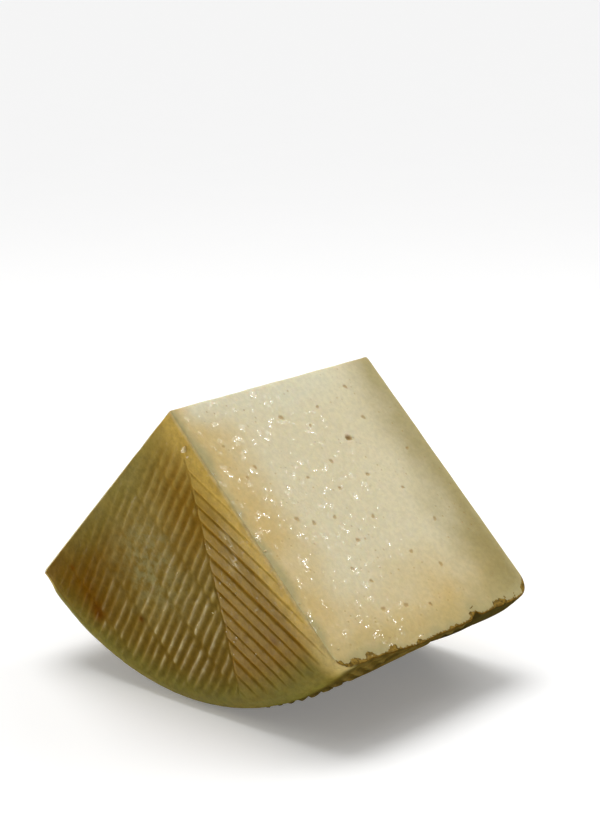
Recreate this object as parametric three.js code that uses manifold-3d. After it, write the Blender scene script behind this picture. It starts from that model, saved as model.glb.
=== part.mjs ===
// A quarter of a pressed sheep's milk cheese wheel, cut through its axis and stood on its round
// side with the cut tip uppermost. Millimetres, +Z up, the wheel's axis along +Y, and the flat
// face with the plaited imprint towards -Y. The origin is the middle of the resting spot, below
// the centre of the quarter.
//
// The wheel is turned as a lathe form and cut by two knife planes. Both flat faces and the round
// side carry the imprint of plaited grass: low ridges in slanting rows. The ridges of the flat
// faces are bars fused to the wheel, and those of the side are raised from the turned form
// itself. The larger eyes are sunk into the two cut faces.

import * as THREE from 'three';
import { mergeVertices } from 'three/addons/utils/BufferGeometryUtils.js';
import Module from 'manifold-3d';

// ---- Driving dimensions of the wheel ----
const WHEEL_RADIUS = 95;
const WHEEL_HEIGHT = 90;
const CUT_ANGLE = Math.PI / 2;
const FRONT_RIM_RADIUS = 6.3;
const BACK_RIM_RADIUS = 8;

// The round side: a pressed belt next to the front rim, and a plain band that stands proud of it.
const BELT_START = 6;
const BELT_END = 61.5;
const BELT_STEP_RUN = 2.2;
const BELT_FLOOR_DEPTH = 1.1;
const BELT_BULGE = 0.45;
const BAND_RISE = 0.7;
const RESTING_FLAT_DEPTH = 0.4;

// ---- The plaited imprint ----
const RIDGE_HEIGHT = 0.8;
const RIDGE_ROOT = 1.0;
const EDGE_MARGIN = 2.6;
const RIM_MARGIN = 4.8;
const SHORTEST_RIDGE = 4;
const UNEVEN_SPACING = 0.12;
const UNEVEN_ROWS = 0.35;

// A flat face: a spine leans across it, long ridges slant away on one side of the spine, and
// rows of short strokes on the other.
const SPINE_LEAN = THREE.MathUtils.degToRad(15.2);
const SPINE_OFFSET = 1.8;
const SPINE_GAP = 0.7;
const LONG_RIDGE_SLOPE = THREE.MathUtils.degToRad(-28);
const LONG_RIDGE_PITCH = 3.8;
const LONG_RIDGE_BASE = 3.2;
const LONG_RIDGE_CROWN = 2;
const STROKE_SLOPE = THREE.MathUtils.degToRad(60);
const STROKE_PITCH = 3.66;
const STROKE_BASE = 2.6;
const STROKE_CROWN = 1.1;
const ROW_SLOPE = THREE.MathUtils.degToRad(-42);
const ROW_WIDTH = 15;
const FIRST_ROW_AT = 3.3;
const ROW_GAP = 1.2;

// The belt: three rings of slanting strokes that lean by turns one way and the other. The widths
// of a stroke are shares of the spacing, and its height varies by a share of the ridge height.
const BELT_RINGS = 3;
const BELT_STROKES = 117;
const BELT_STROKE_SLOPE = THREE.MathUtils.degToRad(50);
const BELT_STROKE_BASE = 0.7;
const BELT_STROKE_CROWN = 0.3;
const BELT_STROKE_LOWEST = 0.8;
const BELT_STROKE_HIGHEST = 1.1;
const RING_GAP = 1.4;
const STROKE_RUN_UP = 2;

// ---- Eyes in the paste ----
const EYES_PER_FACE = 20;
const EYE_SMALLEST = 0.7;
const EYE_LARGEST = 1.3;
const EYE_KEEP_OUT = 10;
const EYE_SPACING = 7;
const EYE_SUNK = 0.25;

const PASTE_COLOUR = 0xd8c692;
const PASTE_ROUGHNESS = 0.5;

// ---- How fine the form is ----
const COLUMNS_PER_STROKE = 4;
const FRONT_RIM_STEPS = 4;
const BACK_RIM_STEPS = 5;
const SMOOTHED_AWAY = 0.06;

// ---- Worked out from the driving dimensions ----
const AXIS_HEIGHT = WHEEL_RADIUS - RESTING_FLAT_DEPTH;
const HALF_HEIGHT = WHEEL_HEIGHT / 2;
const HALF_ANGLE = CUT_ANGLE / 2;
const FACE_FLOOR = HALF_HEIGHT - RIDGE_HEIGHT;

const wasm = await Module();
wasm.setup();

// ---- Solids from three.js geometry ----

/** Turns a closed three.js geometry into a solid, merging the vertices that its faces share. */
function toSolid(geometry) {
  const bare = geometry.index ? geometry.toNonIndexed() : geometry.clone();
  for (const name of Object.keys(bare.attributes)) {
    if (name !== 'position') bare.deleteAttribute(name);
  }
  const merged = mergeVertices(bare, 1e-4);
  const kept = [];
  for (let i = 0; i < merged.index.count; i += 3) {
    const [a, b, c] = [0, 1, 2].map((k) => merged.index.getX(i + k));
    if (a !== b && b !== c && c !== a) kept.push(a, b, c);
  }
  return new wasm.Manifold(new wasm.Mesh({
    numProp: 3,
    vertProperties: new Float32Array(merged.attributes.position.array),
    triVerts: new Uint32Array(kept),
  }));
}

/** Turns a solid back into a three.js geometry. */
function toGeometry(solid) {
  const mesh = solid.getMesh();
  const geometry = new THREE.BufferGeometry();
  geometry.setAttribute('position', new THREE.BufferAttribute(new Float32Array(mesh.vertProperties), 3));
  geometry.setIndex(new THREE.BufferAttribute(new Uint32Array(mesh.triVerts), 1));
  geometry.computeVertexNormals();
  return geometry;
}

/** A repeatable number from 0 to 1 for a row, a place in it and a use. */
function chance(row, place, use) {
  const wave = Math.sin(row * 12.9898 + place * 78.233 + use * 37.719) * 43758.5453;
  return wave - Math.floor(wave);
}

// ---- The wheel ----

/** Radius of the round side's ground, with no ridges, at a distance from the front face. */
function sideRadius(depth) {
  const floor = WHEEL_RADIUS - BELT_FLOOR_DEPTH;
  const along = THREE.MathUtils.clamp(depth / BELT_END, 0, 1);
  const belt = floor + BELT_BULGE * Math.sin(Math.PI * along);
  const rise = THREE.MathUtils.smoothstep(depth, BELT_END, BELT_END + BELT_STEP_RUN);
  return belt + (WHEEL_RADIUS + BAND_RISE - belt) * rise;
}

/** A point of the wheel's half section; its ring is set where a ring's strokes have full height. */
const sectionPoint = (radius, y, ring = -1) => Object.assign(new THREE.Vector2(radius, y), { ring });

/** The half section of the belt: each ring's strokes run up from the ground and down to it. */
function beltSection() {
  const width = (BELT_END - BELT_START) / BELT_RINGS;
  const rows = [RING_GAP / 2, RING_GAP / 2 + STROKE_RUN_UP, width - RING_GAP / 2 - STROKE_RUN_UP];
  return Array.from({ length: BELT_RINGS }, (_, ring) => [...rows, width - RING_GAP / 2].map((row, i) => {
    const depth = BELT_START + ring * width + row;
    return sectionPoint(sideRadius(depth), depth - HALF_HEIGHT, i === 1 || i === 2 ? ring : -1);
  })).flat();
}

/** The wheel's half section, from the middle of the front face round to the middle of the back. */
function wheelSection() {
  const frontSide = sideRadius(FRONT_RIM_RADIUS);
  const backSide = sideRadius(WHEEL_HEIGHT);
  const quarterTurn = (steps) => Array.from({ length: steps + 1 }, (_, i) => ((Math.PI / 2) * i) / steps);
  const frontRim = quarterTurn(FRONT_RIM_STEPS).slice(0, -1).map((turn) => sectionPoint(
    frontSide - FRONT_RIM_RADIUS * (1 - Math.sin(turn)),
    FRONT_RIM_RADIUS * (1 - Math.cos(turn)) - FACE_FLOOR,
  ));
  const backRim = quarterTurn(BACK_RIM_STEPS).map((turn) => sectionPoint(
    backSide - BACK_RIM_RADIUS * (1 - Math.cos(turn)),
    FACE_FLOOR - BACK_RIM_RADIUS * (1 - Math.sin(turn)),
  ));
  const step = [BELT_END, BELT_END + BELT_STEP_RUN / 2, BELT_END + BELT_STEP_RUN]
    .map((depth) => sectionPoint(sideRadius(depth), depth - HALF_HEIGHT));
  const [frontMiddle, backMiddle] = [-FACE_FLOOR, FACE_FLOOR].map((y) => sectionPoint(0, y));
  return [frontMiddle, ...frontRim, ...beltSection(), ...step, ...backRim, backMiddle];
}

/** How far round the wheel the strokes have slanted at a distance from the front face. */
function slantedBy(depth) {
  const along = THREE.MathUtils.clamp((depth - BELT_START) / (BELT_END - BELT_START), 0, 1) * BELT_RINGS;
  const zigzag = Math.abs(along - 2 * Math.round(along / 2));
  return (zigzag * (BELT_END - BELT_START)) / BELT_RINGS / Math.tan(BELT_STROKE_SLOPE) / WHEEL_RADIUS;
}

/**
 * The whole wheel, lying with its axis along Y at the height of the cut tip. The turned form has
 * four columns of vertices for each stroke of the belt: they follow its slant, and the middle two
 * stand up as its crown.
 */
function wheelSolid() {
  const section = wheelSection();
  const columns = BELT_STROKES * COLUMNS_PER_STROKE;
  const turned = new THREE.LatheGeometry(section, columns);
  const chamfer = (BELT_STROKE_BASE - BELT_STROKE_CROWN) / 2;
  const places = [0, chamfer, chamfer + BELT_STROKE_CROWN, BELT_STROKE_BASE];
  const spot = turned.attributes.position;
  for (let i = 0; i < spot.count; i++) {
    const row = section[i % section.length];
    const column = Math.floor(i / section.length) % columns;
    const stroke = Math.floor(column / COLUMNS_PER_STROKE);
    const corner = column % COLUMNS_PER_STROKE;
    const isCrown = row.ring >= 0 && (corner === 1 || corner === 2);
    const size = THREE.MathUtils.lerp(BELT_STROKE_LOWEST, BELT_STROKE_HIGHEST, chance(row.ring, stroke, 7));
    const shift = isCrown ? UNEVEN_SPACING * (chance(row.ring, stroke, 8) - 0.5) : 0;
    const radius = row.x + (isCrown ? RIDGE_HEIGHT * size : 0);
    const turn = ((stroke + places[corner] + shift) * 2 * Math.PI) / BELT_STROKES
      + slantedBy(row.y + HALF_HEIGHT);
    spot.setXYZ(i, radius * Math.sin(turn), row.y, AXIS_HEIGHT + radius * Math.cos(turn));
  }
  return toSolid(turned).simplify(SMOOTHED_AWAY);
}

/** The space that the quarter keeps: between the two knife planes, and above the resting plane. */
function knifeSpace() {
  const reach = AXIS_HEIGHT * Math.tan(HALF_ANGLE);
  const gable = new THREE.Shape([
    new THREE.Vector2(-reach, 0),
    new THREE.Vector2(reach, 0),
    new THREE.Vector2(0, AXIS_HEIGHT),
  ]);
  const length = 2 * WHEEL_HEIGHT;
  const wedge = new THREE.ExtrudeGeometry(gable, { depth: length, bevelEnabled: false });
  wedge.rotateX(Math.PI / 2);
  wedge.translate(0, length / 2, 0);
  return toSolid(wedge);
}

// ---- Where a point of a flat pattern lands on the cheese ----
// A pattern has x to the right and y upwards, seen from outside, and y is 0 at the cut tip.

const onFront = (x, y, lift) => new THREE.Vector3(x, -FACE_FLOOR - lift, AXIS_HEIGHT + y);

const onBack = (x, y, lift) => new THREE.Vector3(-x, FACE_FLOOR + lift, AXIS_HEIGHT + y);

// ---- Ridges ----

/** Outline of a ridge's crown: a bar along x with pointed ends. */
function crownOutline(length, crown, chamfer) {
  return new THREE.Shape([
    new THREE.Vector2(chamfer, 0),
    new THREE.Vector2(crown, -crown / 2),
    new THREE.Vector2(length - crown, -crown / 2),
    new THREE.Vector2(length - chamfer, 0),
    new THREE.Vector2(length - crown, crown / 2),
    new THREE.Vector2(crown, crown / 2),
  ]);
}

/**
 * One ridge from start to end of a flat pattern: a bar chamfered up to a narrower crown, laid on
 * the surface that `place` describes with its root below it.
 */
function ridge(place, start, end, base, crown) {
  const along = new THREE.Vector2().subVectors(end, start);
  const chamfer = (base - crown) / 2;
  const bar = new THREE.ExtrudeGeometry(crownOutline(along.length(), crown, chamfer), {
    depth: RIDGE_ROOT,
    bevelEnabled: true,
    bevelSegments: 1,
    bevelSize: chamfer,
    bevelThickness: RIDGE_HEIGHT,
  });
  bar.rotateZ(along.angle());
  const spot = bar.attributes.position;
  for (let i = 0; i < spot.count; i++) {
    const lift = Math.max(spot.getZ(i), 0) - RIDGE_ROOT;
    const put = place(start.x + spot.getX(i), start.y + spot.getY(i), lift);
    spot.setXYZ(i, put.x, put.y, put.z);
  }
  return toSolid(bar);
}

/** Keeps the stretch [from, to] of the line start + t way on the side of a limit where n.p > least. */
function keepBeyond(stretch, start, way, normal, least) {
  const rate = normal.dot(way);
  const reached = (least - normal.dot(start)) / rate;
  return rate > 0
    ? [Math.max(stretch[0], reached), stretch[1]]
    : [stretch[0], Math.min(stretch[1], reached)];
}

/** Keeps the stretch of the line that lies within a radius of the pattern's origin. */
function keepWithin(stretch, start, way, radius) {
  const middle = -start.dot(way);
  const inside = radius ** 2 - start.lengthSq() + middle ** 2;
  if (inside <= 0) return [0, 0];
  const half = Math.sqrt(inside);
  return [Math.max(stretch[0], middle - half), Math.min(stretch[1], middle + half)];
}

const heading = (angle) => new THREE.Vector2(Math.cos(angle), Math.sin(angle));
const LEFT_OF_SPINE = heading(SPINE_LEAN - Math.PI);
const FROM_LEFT_CUT = heading(-HALF_ANGLE);
const FROM_RIGHT_CUT = heading(HALF_ANGLE - Math.PI);
const EVERYWHERE = [-2 * WHEEL_RADIUS, 2 * WHEEL_RADIUS];

/** A point of the spine at a distance down it from its top. */
function spinePoint(down) {
  return new THREE.Vector2(SPINE_OFFSET, 0).add(heading(SPINE_LEAN - Math.PI / 2).multiplyScalar(down));
}

/** The part of a line that is on a flat face, clear of its rim and of both cuts. */
function keepOnFace(start, way) {
  let stretch = keepWithin(EVERYWHERE, start, way, WHEEL_RADIUS - RIM_MARGIN);
  stretch = keepBeyond(stretch, start, way, FROM_LEFT_CUT, EDGE_MARGIN);
  return keepBeyond(stretch, start, way, FROM_RIGHT_CUT, EDGE_MARGIN);
}

/** The long ridges of one flat face, on the right of its spine. */
function longRidges(place, face) {
  const way = heading(LONG_RIDGE_SLOPE);
  const spacing = LONG_RIDGE_PITCH / Math.sin(Math.PI / 2 - SPINE_LEAN + LONG_RIDGE_SLOPE);
  const made = [];
  for (let i = 0; i * spacing < WHEEL_RADIUS; i++) {
    const start = spinePoint((i + UNEVEN_SPACING * (chance(face, i, 1) - 0.5)) * spacing);
    const clear = start.dot(LEFT_OF_SPINE) - SPINE_GAP;
    const stretch = keepBeyond(
      keepOnFace(start, way), start, way, LEFT_OF_SPINE.clone().negate(), -clear);
    if (stretch[1] - stretch[0] < SHORTEST_RIDGE) continue;
    const [from, to] = stretch.map((t) => start.clone().addScaledVector(way, t));
    made.push(ridge(place, from, to, LONG_RIDGE_BASE, LONG_RIDGE_CROWN));
  }
  return made;
}

/** The rows of short strokes of one flat face, on the left of its spine. */
function strokeRows(place, face) {
  const way = heading(STROKE_SLOPE);
  const across = heading(STROKE_SLOPE - Math.PI / 2);
  const down = heading(ROW_SLOPE - Math.PI / 2);
  const most = Math.ceil(WHEEL_RADIUS / STROKE_PITCH);
  const spineSide = LEFT_OF_SPINE.dot(spinePoint(0)) + SPINE_GAP;
  const made = [];
  for (let row = 0; row * ROW_WIDTH < WHEEL_RADIUS; row++) {
    const top = FIRST_ROW_AT + (row - 1) * ROW_WIDTH + ROW_GAP / 2;
    for (let i = -most; i <= most; i++) {
      const shift = UNEVEN_ROWS * chance(face, row, 2) + UNEVEN_SPACING * (chance(row, i, 3) - 0.5);
      const start = across.clone().multiplyScalar((i + shift) * STROKE_PITCH);
      let stretch = keepOnFace(start, way);
      stretch = keepBeyond(stretch, start, way, LEFT_OF_SPINE, spineSide);
      stretch = keepBeyond(stretch, start, way, down, top);
      stretch = keepBeyond(stretch, start, way, down.clone().negate(), ROW_GAP - top - ROW_WIDTH);
      if (stretch[1] - stretch[0] < SHORTEST_RIDGE) continue;
      const [from, to] = stretch.map((t) => start.clone().addScaledVector(way, t));
      made.push(ridge(place, from, to, STROKE_BASE, STROKE_CROWN));
    }
  }
  return made;
}

// ---- Eyes ----

/** Where the eyes of a cut face are: x is the distance below the cut tip and y along the axis. */
function eyeSpots(face) {
  const spots = [];
  for (let i = 0; spots.length < EYES_PER_FACE; i++) {
    const spot = new THREE.Vector2(
      THREE.MathUtils.lerp(EYE_KEEP_OUT, WHEEL_RADIUS - EYE_KEEP_OUT, chance(face, i, 4)),
      THREE.MathUtils.lerp(EYE_KEEP_OUT, WHEEL_HEIGHT - EYE_KEEP_OUT, chance(face, i, 5)),
    );
    if (spots.every((other) => other.distanceTo(spot) > EYE_SPACING)) spots.push(spot);
  }
  return spots;
}

/** One eye of a cut face as the small ball that it leaves room for. */
function eye(face, spot, index) {
  const size = THREE.MathUtils.lerp(EYE_SMALLEST, EYE_LARGEST, chance(face, index, 6));
  const ball = new THREE.IcosahedronGeometry(size);
  const side = face === 0 ? 1 : -1;
  const inward = EYE_SUNK * size;
  ball.rotateZ(index);
  ball.translate(
    side * (spot.x * Math.sin(HALF_ANGLE) - inward * Math.cos(HALF_ANGLE)),
    spot.y - HALF_HEIGHT,
    AXIS_HEIGHT - spot.x * Math.cos(HALF_ANGLE) - inward * Math.sin(HALF_ANGLE),
  );
  return toSolid(ball);
}

// ---- The quarter ----

function cheeseSolid() {
  const relief = [
    ...longRidges(onFront, 0),
    ...strokeRows(onFront, 0),
    ...longRidges(onBack, 1),
    ...strokeRows(onBack, 1),
  ];
  const eyes = [0, 1].flatMap((face) => eyeSpots(face).map((spot, i) => eye(face, spot, i)));
  const wheel = relief.reduce((whole, part) => whole.add(part), wheelSolid());
  const quarter = wheel.intersect(knifeSpace());
  return eyes.reduce((whole, part) => whole.subtract(part), quarter);
}

const cheese = new THREE.Group();
const wedge = new THREE.Mesh(
  toGeometry(cheeseSolid()),
  new THREE.MeshStandardMaterial({ color: PASTE_COLOUR, roughness: PASTE_ROUGHNESS, metalness: 0 }),
);
wedge.name = 'cheese_wedge';
cheese.add(wedge);

export default cheese;
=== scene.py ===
"""A quarter wheel of pressed sheep milk cheese, cut side to the right and standing on its round side.

The whole cheese is one closed skin. Its two flat faces and its round side carry the imprint of
plaited grass, and its two knife cuts are wet, pale paste with small eyes. Lengths inside the
shape functions are millimetres; the finished mesh is in metres. The wheel's axis lies along Y at
the height of the cut tip, and depth is measured along it from the front face.
"""

import bmesh
import bpy
import numpy as np
from bpy.props import FloatProperty, FloatVectorProperty, PointerProperty
from mathutils import Matrix, Vector


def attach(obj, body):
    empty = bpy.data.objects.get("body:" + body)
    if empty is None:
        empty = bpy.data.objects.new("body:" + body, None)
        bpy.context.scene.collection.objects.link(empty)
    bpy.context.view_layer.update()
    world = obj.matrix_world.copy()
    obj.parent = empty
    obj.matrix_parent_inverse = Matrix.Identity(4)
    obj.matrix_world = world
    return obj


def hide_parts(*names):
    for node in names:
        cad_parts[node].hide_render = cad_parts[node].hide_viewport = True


bl_info = {
    "name": "Sheep milk cheese",
    "version": (1, 0, 0),
    "blender": (4, 5, 0),
    "location": "View3D > Sidebar > Cheese",
    "description": "Builds a quarter wheel of pressed sheep milk cheese on its packed frame",
    "category": "Add Mesh",
}

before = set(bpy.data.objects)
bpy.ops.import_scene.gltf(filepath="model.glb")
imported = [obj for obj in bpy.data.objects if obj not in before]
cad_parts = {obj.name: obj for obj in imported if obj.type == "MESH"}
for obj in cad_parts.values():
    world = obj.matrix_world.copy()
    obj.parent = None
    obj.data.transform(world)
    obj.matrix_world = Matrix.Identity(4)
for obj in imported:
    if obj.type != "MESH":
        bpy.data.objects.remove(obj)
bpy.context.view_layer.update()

CHEESE_NODE = "cheese_wedge"
BODY = "root"
MM = 0.001

# ---- The wheel, in millimetres and degrees ----
HALF_ANGLE = 45.0
RESTING_FLAT_DEPTH = 0.4
BELT_START = 6.0
BELT_END = 61.5
BELT_STEP_RUN = 2.2
BELT_FLOOR_DEPTH = 1.1
BELT_BULGE = 0.45
BAND_RISE = 0.7

# ---- The plaited imprint of the flat faces ----
SPINE_LEAN = 15.2
SPINE_OFFSET = 1.8
SPINE_GAP = (0.05, 0.75)
SPINE_STARTS_AT = (5.6, -14.0)
SPLIT_HALF_WIDTH = 0.35
LONG_RIDGE_SLOPE = -28.0
LONG_RIDGE_SHOULDER = (0.32, 0.48)
LONG_RIDGE_FLOOR = 0.45
STROKE_SLOPE = 60.0
STROKE_SOFTNESS = 0.27
STROKE_SIZE = (0.65, 1.0)
ROW_SLOPE = -42.0
FIRST_ROW_AT = 3.3
ROW_END_SIZE = (0.5, 1.0)
ROW_END_RUN = (0.1, 1.6)
UNEVEN_SPACING = 0.12
UNEVEN_ROWS = 0.3
PATTERN_REACH = 90.5
SMOOTH_RIND_SUNK = 0.12
PRESSED_DEPTH = 0.88
LOWER_PART = (22.0, 44.0)
RIGHT_EDGE_FILLED = (1.2, 9.0)
LOWER_EDGE_FILLED = (0.4, 4.0)
LOWER_EDGE_SHARE = 0.7
AMBER_STRIP = (3.0, 13.0)
AMBER_NARROWS = 3.0
RUBBED_FLAT = 0.45
RUBBED_EVENLY = 0.8
SCUFF_STRENGTH = 0.5
SCUFF_BORDER = (-0.2, 0.5)
LEAST_WET = 0.15

# ---- The belt of the round side ----
BELT_RINGS = 3
BELT_STROKES = 117
BELT_STROKE_SLOPE = 50.0
BELT_STROKE_SIZE = (0.8, 1.1)
BELT_CROWN_AT = 0.35
BELT_CROWN = (0.13, 0.37)
BELT_WARMTH = 0.3
RING_GAP = 1.4
STROKE_RUN_UP = 2.0
FRONT_RIM_FADE = (1.8, 6.4)
BACK_RIM_FADE = (82.0, 88.2)
CRUSHED_REACH = (0.6, 4.5)
CRUSHED_SHARE = 0.8
CRUSHED_LEVEL = 0.55
FLARE_REACH = 8.0
SWELL_REACH = 34.0

# ---- The knife cuts and their edges ----
EDGE_INSET = 0.25
EDGE_ROUNDING = (0.5, 0.85)
RAGGED_ROUNDING = (0.35, 1.9)
CUT_CALM = 4.0
WARM_SIDE_SHARE = 0.8
WARM_BACK_LEAN = 0.5
DARK_BACK_LEAN = 0.12
RAGGED_RUN = 4.0
LOWEST_T = 90.0

# ---- Eyes: rings as shares of the radius and of the depth, in place of a block of cells ----
EYE_RINGS = ((1.6, 0.0), (1.2, 0.1), (0.95, 0.4), (0.66, 0.8), (0.35, 1.0))
EYE_BLOCK = 3
EYE_MARGIN = 6
EYE_WAVES = (0.16, 0.1)
EYE_DEPTHS = (0.28, 0.75)
EYE_DEEP_FROM = 0.9
EYE_FLOOR = 1.04
# The inside of an eye is painted darker the deeper it sinks: partly the eye's brown, partly painted shade.
EYE_DARKENS_BY = 1.5
EYE_DARKNESS = (0.45, 0.95)
HIDDEN_EYES = 60
HIDDEN_EYES_WITHIN = ((8.0, 86.0), (9.0, 81.0))
# Eyes of the right cut: distance below the tip and depth, in millimetres, and size from 0 to 1.
SHOWN_EYES = (
    (25.9, 58.6, 1.0), (7.3, 70.8, 0.5), (11.7, 38.5, 0.7), (45.7, 19.2, 0.6), (48.1, 24.3, 0.5),
    (53.0, 23.3, 0.3), (48.4, 32.4, 0.4), (83.0, 36.5, 0.6), (80.9, 28.4, 0.5), (58.9, 35.5, 0.5),
    (67.4, 52.1, 0.4), (74.2, 60.9, 0.5), (79.9, 57.2, 0.3), (61.3, 70.0, 0.4), (62.6, 67.0, 0.2),
    (25.7, 16.5, 0.3), (29.4, 18.9, 0.3), (66.4, 26.7, 0.3), (70.1, 23.6, 0.4), (72.5, 30.4, 0.3),
    (53.5, 47.0, 0.4), (39.9, 56.5, 0.4), (34.5, 79.6, 0.3), (19.6, 69.4, 0.5), (24.6, 73.8, 0.3),
    (28.4, 11.1, 0.2), (15.8, 10.4, 0.1), (34.0, 33.0, 0.2), (41.0, 41.5, 0.3), (89.0, 67.0, 0.1),
    (86.0, 46.0, 0.3), (12.5, 55.0, 0.3), (17.0, 47.0, 0.2), (31.5, 45.5, 0.5), (47.5, 66.0, 0.2),
)

# ---- Crumbs ----
# On the front face: place right of and above the tip, length in millimetres, and turn in degrees.
FACE_CRUMBS = (
    (5.9, -11.3, 2.5, 68.0), (6.9, -13.4, 1.2, 20.0), (22.0, -35.7, 1.0, -36.0), (24.1, -37.8, 0.8, 30.0),
    (25.8, -43.0, 1.1, -30.0), (14.5, -61.0, 0.7, 0.0),
)
# On the right cut: distance below the tip, depth, length in millimetres, and turn in degrees.
CUT_CRUMBS = (
    (52.3, 1.1, 1.2, 5.0), (71.0, 1.0, 0.9, 0.0), (38.5, 1.2, 0.8, 12.0), (88.0, 4.0, 0.9, 40.0),
    (24.5, 1.2, 0.9, 100.0), (61.0, 3.2, 0.6, 60.0),
)
CRUMB_RINGS, CRUMB_SPOKES = 9, 14
CRUMB_WIDTH, CRUMB_HEIGHT = 0.6, 0.42
CRUMB_RAISED = 0.12
CRUMB_CUT_SUNK = 0.1
# Specks: whitish lumps where glints show on the wet crests, partly moist crumbs, partly painted glints.
SPECK_TRIES = 1500
SPECK_LENGTH = (0.3, 0.75)
SPECK_RADII = (0.3, 0.88)
SPECK_TURNS = (-0.3, 0.66)
SPECK_CREST = 0.86
SPECK_WETNESS = (0.25, 1.0)
SPECK_AMBER = 0.5
SPECK_RARITY = (0.05, 0.22)
LONG_RIDGE_WARMTH = 0.8

# ---- Spots: strength, place in wheel radii right of and above the tip, and reach in wheel radii ----
RUBBED_SPOTS = ((1.0, (-0.13, -0.545), 0.15),)
SCUFF_SPOTS = ((1.0, (0.232, -0.376), 0.026), (1.0, (0.255, -0.40), 0.02), (1.0, (0.271, -0.453), 0.028))
STAIN_SPOTS = (
    (1.2, (-0.405, -0.765), 0.031), (0.35, (-0.44, -0.70), 0.05), (0.15, (-0.50, -0.64), 0.05),
    (1.0, (-0.525, -0.632), 0.011), (1.0, (-0.19, -0.74), 0.011), (1.0, (0.42, -0.67), 0.011),
)

# ---- Waves: rows of height, grain in millimetres (in wheel radii for scuffs) and random draw ----
SPINE_WAVES = ((0.35, 2.2, 22),)
STROKE_PLACE_WAVES = ((0.06, 4.0, 23),)
STROKE_SIZE_WAVES = ((0.15, 3.0, 20),)
TIP_WAVES = ((2.0, 7.0, 12),)
LEFT_EDGE_WAVES = ((2.0, 9.0, 11),)
PRESSED_WAVES = ((0.12, 6.0, 13),)
RUBBED_WAVES = ((0.6, 8.0, 21),)
CREST_WAVES = ((1.0, 1.3, 34),)
SCUFF_WAVES = ((1.0, 0.012, 18), (0.6, 0.006, 19))
FACE_WAVES = ((0.05, 2.3, 14), (0.08, 12.0, 15))
BELT_WAVES = ((0.05, 2.3, 24), (0.08, 12.0, 25))
BAND_WAVES = ((0.12, 7.0, 26),)
BELT_WARM_WAVES = ((0.3, 20.0, 27),)
CRUSHED_WAVES = ((0.35, 1.7, 28), (0.25, 5.0, 29))
# The draws of these are counted on from the one of their edge or cut.
EDGE_WAVES = ((0.5, 5.0, 0),)
CUT_WAVES = ((0.12, 16.0, 2), (0.03, 2.6, 3))
CUT_BORDER_WAVES = ((1.6, 9.0, 5), (0.8, 3.5, 6))
CUT_PATCH_WAVES = ((4.0, 14.0, 9),)
# Broken bits of the ragged edge: a line through the noise, its grain, and where bits begin and are whole.
RAGGED_BITS = ((7.0, 11.0, (-0.2, 0.5)), (3.0, 2.1, (-0.1, 0.7)))

# ---- Numbers of the random draws ----
RIDGE_DRAW, ROW_DRAW, STROKE_DRAW, STROKE_SIZE_DRAW = 1, 2, 3, 10
EYE_DRAWS, EYE_WAVE_DRAW = (4, 5, 6), 9
BELT_SIZE_DRAW, BELT_PLACE_DRAW = 7, 8
LEFT_EDGE_DRAW, RIGHT_EDGE_DRAW = 16, 17
CRUMB_DRAW, SPECK_DRAW = 33, 33
RAGGED_DRAWS = {1: 31, -1: 41}
CUT_DRAWS = {1: 51, -1: 61}
PHASES = 6.3

# ---- Zones of the marks ----
# A zone is its strength and its borders. A border is the name of a distance, where along it the zone
# begins and where it is whole, and the share that is left beyond the border, if any.
PRESSED_ZONE = (
    1.0, ("ragged_tip", 7, 14), ("radius", 90.2, 85.8), ("ragged_left", 0.8, 8), ("from_left", 10, 36, 0.6))
# Pale lower stroke crests, speckled by noise: a painted highlight, laid on through the pale mark.
CREST_HIGHLIGHT_ZONE = (
    0.62, ("strokes", 0.6, 0.96), ("radius", 46, 72), ("radius", 87, 82), ("from_left", 16, 34),
    ("speckle", -0.4, 0.5, 0.3))
FACE_ZONES = {
    "warm": ((1.0, ("left", 1, -2), ("radius", 10, 22)), (0.6, ("left", 28, 4), ("radius", 58, 34))),
    # green: the olive green rind along the left cut and the rim, darkened as painted shade on the rim.
    "green": ((0.6, ("from_left", 14, 0), ("radius", 96, 60)),
              (1.0, ("radius", 80, 90), ("from_left", -10, 34))),
    # deep: darker towards the lower left of the face, painted shade of light from above, over the rind's
    # deep amber.
    "deep_and_shade": ((1.0, ("radius", 32, 80), ("from_left", 46, 14)), (0.3, ("radius", 50, 80))),
    # amber: partly the smooth rind's amber, partly a painted glow of light shining through the rind near the
    # cut.
    "amber": ((1.0, ("amber_strip", 1, 0), ("radius", 88, 76, 0.8)), (0.35, ("radius", 26, 8))),
    # pale: a painted highlight within a millimetre or two of the right cut's edge, and paler rind near that
    # cut at the rim.
    "pale": ((0.6, ("from_right", 1.6, 0.3)), (0.4, ("from_right", 9, 1), ("radius", 72, 88))),
    "wet": ((0.85, ("radius", 26, 52), ("left", 40, 10), ("radius", 88, 76, 0.3)),),
}
FLARE_ZONE = (1.7, ("depth", 10, 40), ("depth", 62, 57))
FLATTER_ZONE = (1.8, ("from_cut", 6, 28), ("from_cut", 68, 44), ("depth", 22, 60), ("depth", 45, 68, 0.5))
SWELL_ZONE = (1.2, ("from_cut", 0, 9), ("depth", 0.3, 3.2), ("depth", 58, 30))
BELT_ZONES = {
    # belt: the round side painted dark, partly its darker rind, partly painted shadow under the wheel.
    "belt": ((1.0, ("depth", 3, 8), ("depth", BELT_END, BELT_END + BELT_STEP_RUN, 0.85)),),
    "green": ((1.0, ("depth", 10, 4)),),
    "amber": ((0.8, ("from_cut", 10, 3), ("depth", 7, 2)),),
    "wet": ((0.4, ("depth", 5, 1)),),
    "pale": ((0.4, ("from_cut", 9, 1), ("depth", 8, 3)),),
}
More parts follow.
